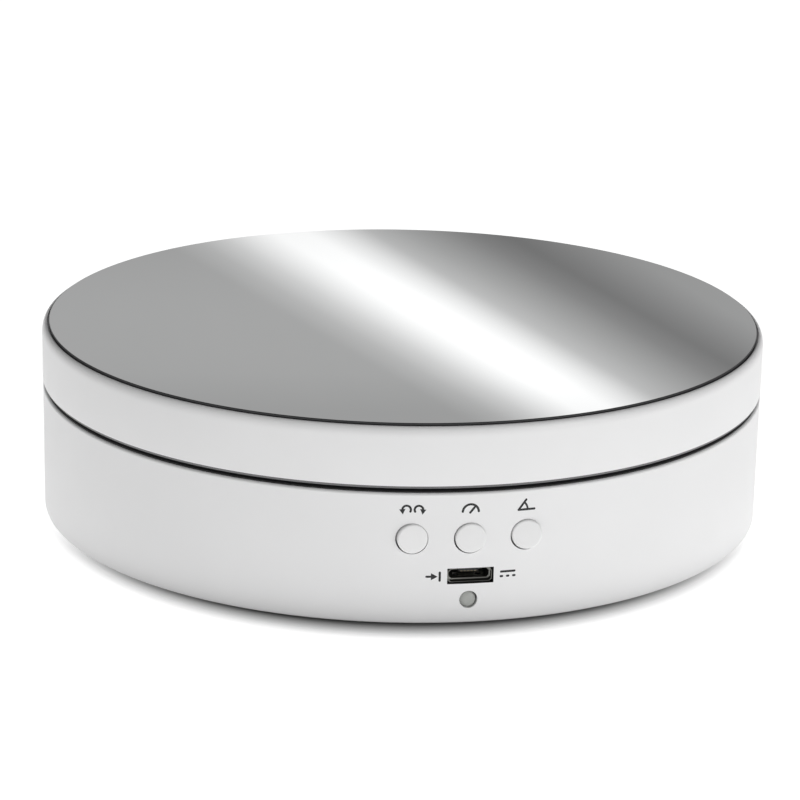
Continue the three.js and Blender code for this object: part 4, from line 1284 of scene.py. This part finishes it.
softened("lid_plate", "motor_lid", 0.08, PLATED)
softened("gearbox_plate", "gear_plate", 0.05, PLATED)
softened("claw_poles", "stator_poles", 0.05, PLATED)
softened("lead_cap", "wire_cap", 0.15, BLUE)
softened("hub_coupling", "drive_hub", 0.12, GEAR_NYLON)
for number in range(1, 4):
    softened(f"gearbox_wheel_{number}", f"gear_{number}", 0.02, GEAR_NYLON)
softened("output_shaft_and_wheel", "output_shaft", 0.02, TURNED_STEEL)
softened("rotor_shaft_and_pinion", "rotor_pinion", 0.02, BRASS)

# %% Can, bush, coils and magnet
LEADS_WINDOW = (4, 7, 15)  # in the can's wall: half width, bottom, top


def ring(name, inner, outer, z0, z1, ease_in, ease_out, facets):
    """A ring with square or eased edges inside and outside."""
    outline = [
        (inner + ease_in, z0), (outer - ease_out, z0), (outer, z0 + ease_out),
        (outer, z1 - ease_out), (outer - ease_out, z1), (inner + ease_in, z1),
    ]
    if ease_in:
        outline += [(inner, z1 - ease_in), (inner, z0 + ease_in)]
    return turned(name, outline, facets)


def make_can():
    low, high = span("motor_can")
    r, skin, round_r = (high.x - low.x) / 2, 0.8, 0.9
    outline = [
        (0, low.z),
        *arc(r - round_r, low.z + round_r, round_r, round_r, -90, 0, 6),
        (r, high.z - 0.1),
        (r - 0.1, high.z),
        (r - skin, high.z),
        (r - skin, low.z + skin + 0.4),
        (r - skin - 0.4, low.z + skin),
        (0, low.z + skin),
    ]
    piece = turned("drawn_can", outline, 96)
    half, bottom, top = LEADS_WINDOW
    window = block("window", (-half, -r - 1, bottom), (half, -r + 3, top))
    show(moved(cut(piece, eased(window, 0.8, 3)), y=MOTOR_Y), "motor_can", PLATED)


def make_bush():
    low, high = span("shaft_bush")
    piece = ring("bearing_bush", 2.57, (high.x - low.x) / 2, low.z, high.z, 0.15, 0.15, 48)
    show(piece, "shaft_bush", BRASS)


def make_magnet():
    low, high = span("rotor_magnet")
    piece = ring("ground_magnet", 0.8, (high.x - low.x) / 2, low.z, high.z, 0, 0.3, 72)
    show(moved(piece, y=MOTOR_Y), "rotor_magnet", FERRITE)


def make_coil(node):
    """A ring of wire; its ridges show on the outside."""
    low, high = span(node)
    outer, inner, ridge, wires = (high.x - low.x) / 2, 8.6, 0.09, 16
    step = (high.z - low.z - 0.2) / wires
    outline = [(inner, low.z), (outer - 0.3, low.z)]
    for i in range(wires):
        z = low.z + 0.1 + step * i
        outline += [(outer - ridge, z), (outer, z + step / 2)]
    outline += [(outer - ridge, high.z - 0.1), (outer - 0.3, high.z), (inner, high.z)]
    show(moved(turned(f"{node}_windings", outline, 72), y=MOTOR_Y), node, COPPER)


make_can()
make_bush()
make_coil("coil_lower")
make_coil("coil_upper")
make_magnet()
print("motor done")

# %% [markdown]
# ## Leads
# Five soft leads hang in a slack bow from the motor's cap to the plug on the board, each in
# its own colour. We sweep a circle along a smooth curve through a few points; the leads lie
# almost in upright planes, so one sideways direction serves to keep the circles from twisting.

# %% Leads
LEAD_R = 0.6
CAP_PITCH = 1.15  # between two leads where they leave the motor's cap
PLUG_PITCH = 2.5
LEAD_COLOURS = {
    "blue": (0.02, 0.10, 0.50), "pink": (0.75, 0.20, 0.35), "yellow": (0.80, 0.58, 0.04),
    "orange": (0.80, 0.20, 0.02), "red": (0.55, 0.02, 0.02),
}
BOW = [  # y, z and how far it has fanned out from the cap's pitch to the plug's
    (-24.2, 11.5, 0), (-27.2, 11.2, 0), (-29.8, 8.5, 0), (-33.2, 7.1, 0.5),
    (-37.2, 10.5, 1), (-39.6, 14.9, 1), (-42.2, 15.7, 1),
]


def smooth_path(points, steps=8):
    """A Catmull-Rom curve through the points."""
    ends = [points[0] * 2 - points[1], *points, points[-1] * 2 - points[-2]]
    path = []
    for a, b, c, d in zip(ends, ends[1:], ends[2:], ends[3:]):
        for i in range(steps):
            t = i / steps
            bend = (2 * a - 5 * b + 4 * c - d) * t**2 + (3 * b - a - 3 * c + d) * t**3
            path.append(0.5 * (2 * b + (c - a) * t + bend))
    return path + [points[-1]]


def swept(name, path, r, facets=16):
    bm = bmesh.new()
    rings = []
    for i, point in enumerate(path):
        run = (path[min(i + 1, len(path) - 1)] - path[max(i - 1, 0)]).normalized()
        side = (Vector((1, 0, 0)) - run * run.x).normalized()
        rise = run.cross(side)
        spots = [point + side * x + rise * y for x, y in circle(r, steps=facets)]
        rings.append([bm.verts.new(spot * MM) for spot in spots])
    for low, high in zip(rings, rings[1:]):
        join_rings(bm, low, high)
    bm.faces.new(rings[0])
    bm.faces.new(rings[-1])
    return smooth(new_piece(name, bm), 60)


for i, (colour, paint) in enumerate(LEAD_COLOURS.items()):
    points = [Vector(((i - 2) * (CAP_PITCH * (1 - f) + PLUG_PITCH * f), y, z)) for y, z, f in BOW]
    finish = moulded(f"{colour}_insulation", paint, 0.4, peel_mm=0.3, tone=0.06)
    show(swept(f"lead_{colour}", smooth_path(points), LEAD_R), "motor_wires", finish)
print("leads:", len(LEAD_COLOURS))

# %% [markdown]
# ## The board
# Board, switches, header and plug keep the frame's outlines with softer edges. The chips get
# separate bent leads, the capacitor its crimped sleeve and scored top, and the solder joints
# stand as small cones where pins come through.

# %% Board and what is on it
softened("lacquered_board", "circuit_board", 0.06, BOARD)
softened("header_housing", "board_header", 0.12, CREAM)
softened("lead_plug", "wire_plug", 0.08, CREAM)
for job in JOBS:
    softened(f"{job}_switch_body", f"switch_{job}", 0.12, BLACK)
    low, high = span(f"plunger_{job}")
    centre = (low + high) / 2
    r, front, back = (high.x - low.x) / 2, -low.y, -high.y
    outline = [(0, back), (r, back), *arc(r - 0.3, front - 0.3, 0.3, 0.3, 0, 90, 5), (0, front)]
    plunger = turned(f"{job}_switch_plunger", outline, 32)
    show(facing(plunger, centre.x, centre.z), f"plunger_{job}", BLACK)


CHIP_HALF = 2.0  # half a chip body's width
CHIP_LEADS = 8  # on each side
CHIP_PITCH = 1.27


def gull_wing(x, y, z, side):
    """One bent lead of a chip, out from its body and up to the board."""
    profile = [
        (0, -0.75), (0.45, -0.75), (0.6, -0.15), (0.98, -0.15),
        (0.98, 0), (0.48, 0), (0.34, -0.6), (0, -0.6),
    ]
    return moved(stood_up(raised("lead", profile, -0.2, 0.2), side), x=x, y=y, z=z)


def make_chip(name, node):
    low, high = span(node)
    y = middle_of(node).y
    near, far = y - CHIP_HALF, y + CHIP_HALF
    body = block(name, (low.x, near, low.z), (high.x, far, high.z - 0.1))
    dot = moved(rod("dot", 0.35, low.z - 0.1, low.z + 0.08), x=low.x + 0.9, y=near + 0.9)
    show(cut(eased(body, 0.12), dot), node, BLACK)
    wings = []
    for i in range(CHIP_LEADS):
        x = low.x + 0.56 + CHIP_PITCH * i
        wings.append(gull_wing(x, near + 0.02, high.z, -1))
        wings.append(gull_wing(x, far - 0.02, high.z, 1))
    extra(grouped(f"{name}_leads", wings), node, STEEL)


make_chip("controller_body", "controller_chip")
make_chip("driver_body", "driver_chip")

# %% Capacitor, pins and solder
def make_capacitor():
    low, high = span("capacitor")
    place = middle_of("capacitor")
    r = (high.x - low.x) / 2
    outline = [
        (0, low.z), (r - 0.15, low.z), (r, low.z + 0.15), (r, low.z + 1.0), (r - 0.3, low.z + 1.25),
        (r - 0.3, low.z + 1.45), (r, low.z + 1.7), (r, high.z - 0.25), (r - 0.12, high.z - 0.05),
        (r - 0.45, high.z), (r - 0.6, high.z - 0.12), (0, high.z - 0.12),
    ]
    sleeve = turned("capacitor_sleeve", outline, 48)
    score = raised("score", cross_outline(1.5, 0.09), high.z - 0.25, high.z + 0.2)
    show(moved(cut(sleeve, score), x=place.x, y=place.y), "capacitor", BLACK)


def solder_cone(x, y, up):
    """A joint on the board's upper or lower face, with the cut pin standing out of it."""
    board_low, board_high = span("circuit_board")
    z, way = (board_high.z, 1) if up else (board_low.z, -1)
    profile = [(0, -0.2), (0.75, -0.2), (0.75, 0.04), (0.42, 0.3), (0.3, 0.75), (0, 0.8)]
    outline = [(r, z + rise * way) for r, rise in profile]
    return moved(turned("solder", outline, 16), x=x, y=y)


def pair(x, y, pitch, up=False):
    return [solder_cone(x + side * pitch / 2, y, up) for side in (-1, 1)]


PINS_Z = (15.4, 16.0)  # the plug's pins: bottom and top
CAPACITOR_PITCH = 2.5
SWITCH_PITCH = 4.4

make_capacitor()
header_y = span("board_header")[0].y
pins, joints = [], []
for i in range(-2, 3):
    x = i * PLUG_PITCH
    low, high = (x - 0.32, header_y + 0.9, PINS_Z[0]), (x + 0.32, header_y + 1.75, PINS_Z[1])
    pins.append(block("pin", low, high))
    joints.append(solder_cone(x, header_y + 0.75, False))
extra(grouped("header_pins", pins), "board_header", STEEL)
joints += pair(*middle_of("capacitor").xy, CAPACITOR_PITCH)
for job in JOBS:
    joints += pair(*middle_of(f"switch_{job}").xy, SWITCH_PITCH)
joints += pair(0, lamp_high.y - LEG_HALF, LEG_PITCH, up=True)
extra(grouped("solder_joints", joints), "circuit_board", TIN)
print("board done")

# %% [markdown]
# ## The floor and the light
# The stand is shown on a pale, evenly lit sheet, as on a light table. A sheet lit by lamps
# alone would turn grey towards its edges, so this one glows of itself. Towards the drum the
# glow fades out and the sheet's colour darkens, a painted shadow that lies mostly on the
# camera's side. Two large soft lights stand in front, the one on the right brighter.
# Behind the stand hangs one long strip light that leans over to the left; only the mirror
# shows it, as a broad soft diagonal band.

# %% Floor
FLOOR_HALF = 6.0
GLOW = 0.84
SHADE_MIDDLE = (-1.2 * MM, -8.4 * MM, 0)  # the painted shadow lies a little towards the camera
SHADE_FROM = 63.6 * MM
SHADE_TO = 74.2 * MM


def pale_sheet():
    material, recipe, shader = surface("pale_sheet", {"Roughness": 0.7})
    shader.inputs["Specular IOR Level"].default_value = 0.1
    inputs = {0: recipe.place(), 1: SHADE_MIDDLE}
    reach = recipe.add("ShaderNodeVectorMath", {"operation": "DISTANCE"}, inputs, "Value")
    inputs = {"Value": reach, "From Min": SHADE_FROM, "From Max": SHADE_TO}
    lit = recipe.add("ShaderNodeMapRange", {"interpolation_type": "SMOOTHSTEP"}, inputs)
    cloud = recipe.noise(60, detail=2)
    sheet = recipe.blend(cloud, (0.88, 0.88, 0.88), (0.9, 0.9, 0.9))
    # Painted shadow: towards the drum the sheet's colour falls to a dark grey and its glow to
    # nothing.
    recipe.feed(shader.inputs["Base Color"], recipe.blend(lit, (0.27, 0.27, 0.27), sheet))
    recipe.feed(shader.inputs["Emission Color"], recipe.blend(lit, (0, 0, 0), (1, 1, 1)))
    shader.inputs["Emission Strength"].default_value = GLOW
    return material


def make_floor():
    bm = bmesh.new()
    corners = [(-1, -1), (1, -1), (1, 1), (-1, 1)]
    bm.faces.new([bm.verts.new((x * FLOOR_HALF, y * FLOOR_HALF, 0)) for x, y in corners])
    floor = new_piece("floor", bm)
    floor.data.materials.append(pale_sheet())
    floor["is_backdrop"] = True


make_floor()

# %% Soft lights
def soft_light(name, bearing, height, distance, size, watts):
    """A square soft light that looks at the stand. Bearing 0 is the camera's side, and
    positive bearings go round to the right."""
    data = bpy.data.lights.new(name, "AREA")
    data.shape = "SQUARE"
    data.size = size
    data.energy = watts
    turn = VIEW_TURN + math.radians(bearing)
    rise = math.radians(height)
    level = math.cos(rise)
    way = Vector((math.sin(turn) * level, -math.cos(turn) * level, math.sin(rise)))
    light = bpy.data.objects.new(name, data)
    bpy.context.scene.collection.objects.link(light)
    aimed = way.to_track_quat("Z", "Y").to_matrix().to_4x4()
    light.matrix_world = Matrix.Translation(way * distance) @ aimed


soft_light("front_right_light", bearing=50, height=18, distance=1.6, size=0.7, watts=7.0)
soft_light("front_left_light", bearing=-55, height=12, distance=1.6, size=1.0, watts=2.4)

# %% [markdown]
# A strip light is bright along a line and fades across it. Seen from the stand, the fade
# depends only on the angle round the strip's long axis, so the sky needs just that angle and
# a ramp. Stops are given in degrees across the strip. The ramp covers the few degrees that
# matter, and the rest of the sky keeps the even grey at both its ends. A second ramp dims
# the sky between the horizon and the zenith, which keeps the rim's sloping shoulder grey.
# A ramp holds no level above one, so its levels are halved and the sky is twice as strong.

# %% Sky with a leaning strip light
STRIP_AXIS = (math.radians(109.8), math.radians(27.6))  # bearing from +Y towards +X, height
STRIP_MIDDLE = (math.radians(11.24), math.radians(15.87))
STRIP_REACH = 4.5  # degrees to each side that the ramp covers
SKY_GREY = 0.41
SKY_STRENGTH = 2.0
STRIP_LEVELS = [  # degrees across the strip, brightness
    (-STRIP_REACH, SKY_GREY), (-1.4, 0.42), (-1.06, 0.52), (-0.75, 0.71), (-0.45, 0.98),
    (-0.2, 1.18), (0.15, 1.18), (0.45, 0.92), (0.75, 0.57), (1.1, 0.44), (1.66, 0.265), (2.0, 0.205),
    (2.25, 0.245), (2.85, 0.36), (STRIP_REACH, SKY_GREY),
]
HEIGHT_LEVELS = [  # degrees above the horizon, share of the brightness
    (0, 1.0), (12.0, 1.0), (14.1, 0.86), (14.9, 0.95), (15.6, 1.0), (16.8, 1.0), (17.6, 0.88),
    (20.0, 0.9), (26.0, 0.6), (36.0, 0.22), (60, 0.22), (72, 0.9), (90, 1.0),
]


def pointing(bearing, height):
    level = math.cos(height)
    return Vector((math.sin(bearing) * level, math.cos(bearing) * level, math.sin(height)))


def make_sky():
    world = bpy.data.worlds.new("studio_sky")
    bpy.context.scene.world = world
    world.use_nodes = True
    recipe = Recipe(world.node_tree)
    axis = pointing(*STRIP_AXIS)
    middle = pointing(*STRIP_MIDDLE)
    middle = (middle - axis * middle.dot(axis)).normalized()
    across = middle.cross(axis)
    way = recipe.add("ShaderNodeTexCoord", output="Generated")

    def share(direction):
        inputs = {0: way, 1: direction}
        return recipe.add("ShaderNodeVectorMath", {"operation": "DOT_PRODUCT"}, inputs, "Value")

    share_across = share(across)
    angle = share_across.maths("ARCTAN2", share_across, share(middle)) * (180 / math.pi)
    width = 2 * STRIP_REACH
    stops = [((a + STRIP_REACH) / width, level / SKY_STRENGTH) for a, level in STRIP_LEVELS]
    inputs = {"Fac": (angle + STRIP_REACH) / width}
    ramp = recipe.add("ShaderNodeValToRGB", {"stops": stops}, inputs)
    rise = share((0, 0, 1))
    height = rise.maths("ARCSINE", rise) * (180 / math.pi)
    stops = [(h / 90, level) for h, level in HEIGHT_LEVELS]
    falloff = recipe.add("ShaderNodeValToRGB", {"stops": stops}, {"Fac": height / 90})
    background = world.node_tree.nodes["Background"]
    recipe.feed(background.inputs["Color"], recipe.dimmed(ramp, falloff))
    background.inputs["Strength"].default_value = SKY_STRENGTH
    return across


print("strip light, across:", [round(v, 3) for v in make_sky()])

# %% [markdown]
# ## Closing
# The visual model has to fit the CAD model's box.

# %% Sizes and finish
low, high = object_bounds()
print("visual box in mm:", [round(v / MM, 2) for v in (*low, *high)])
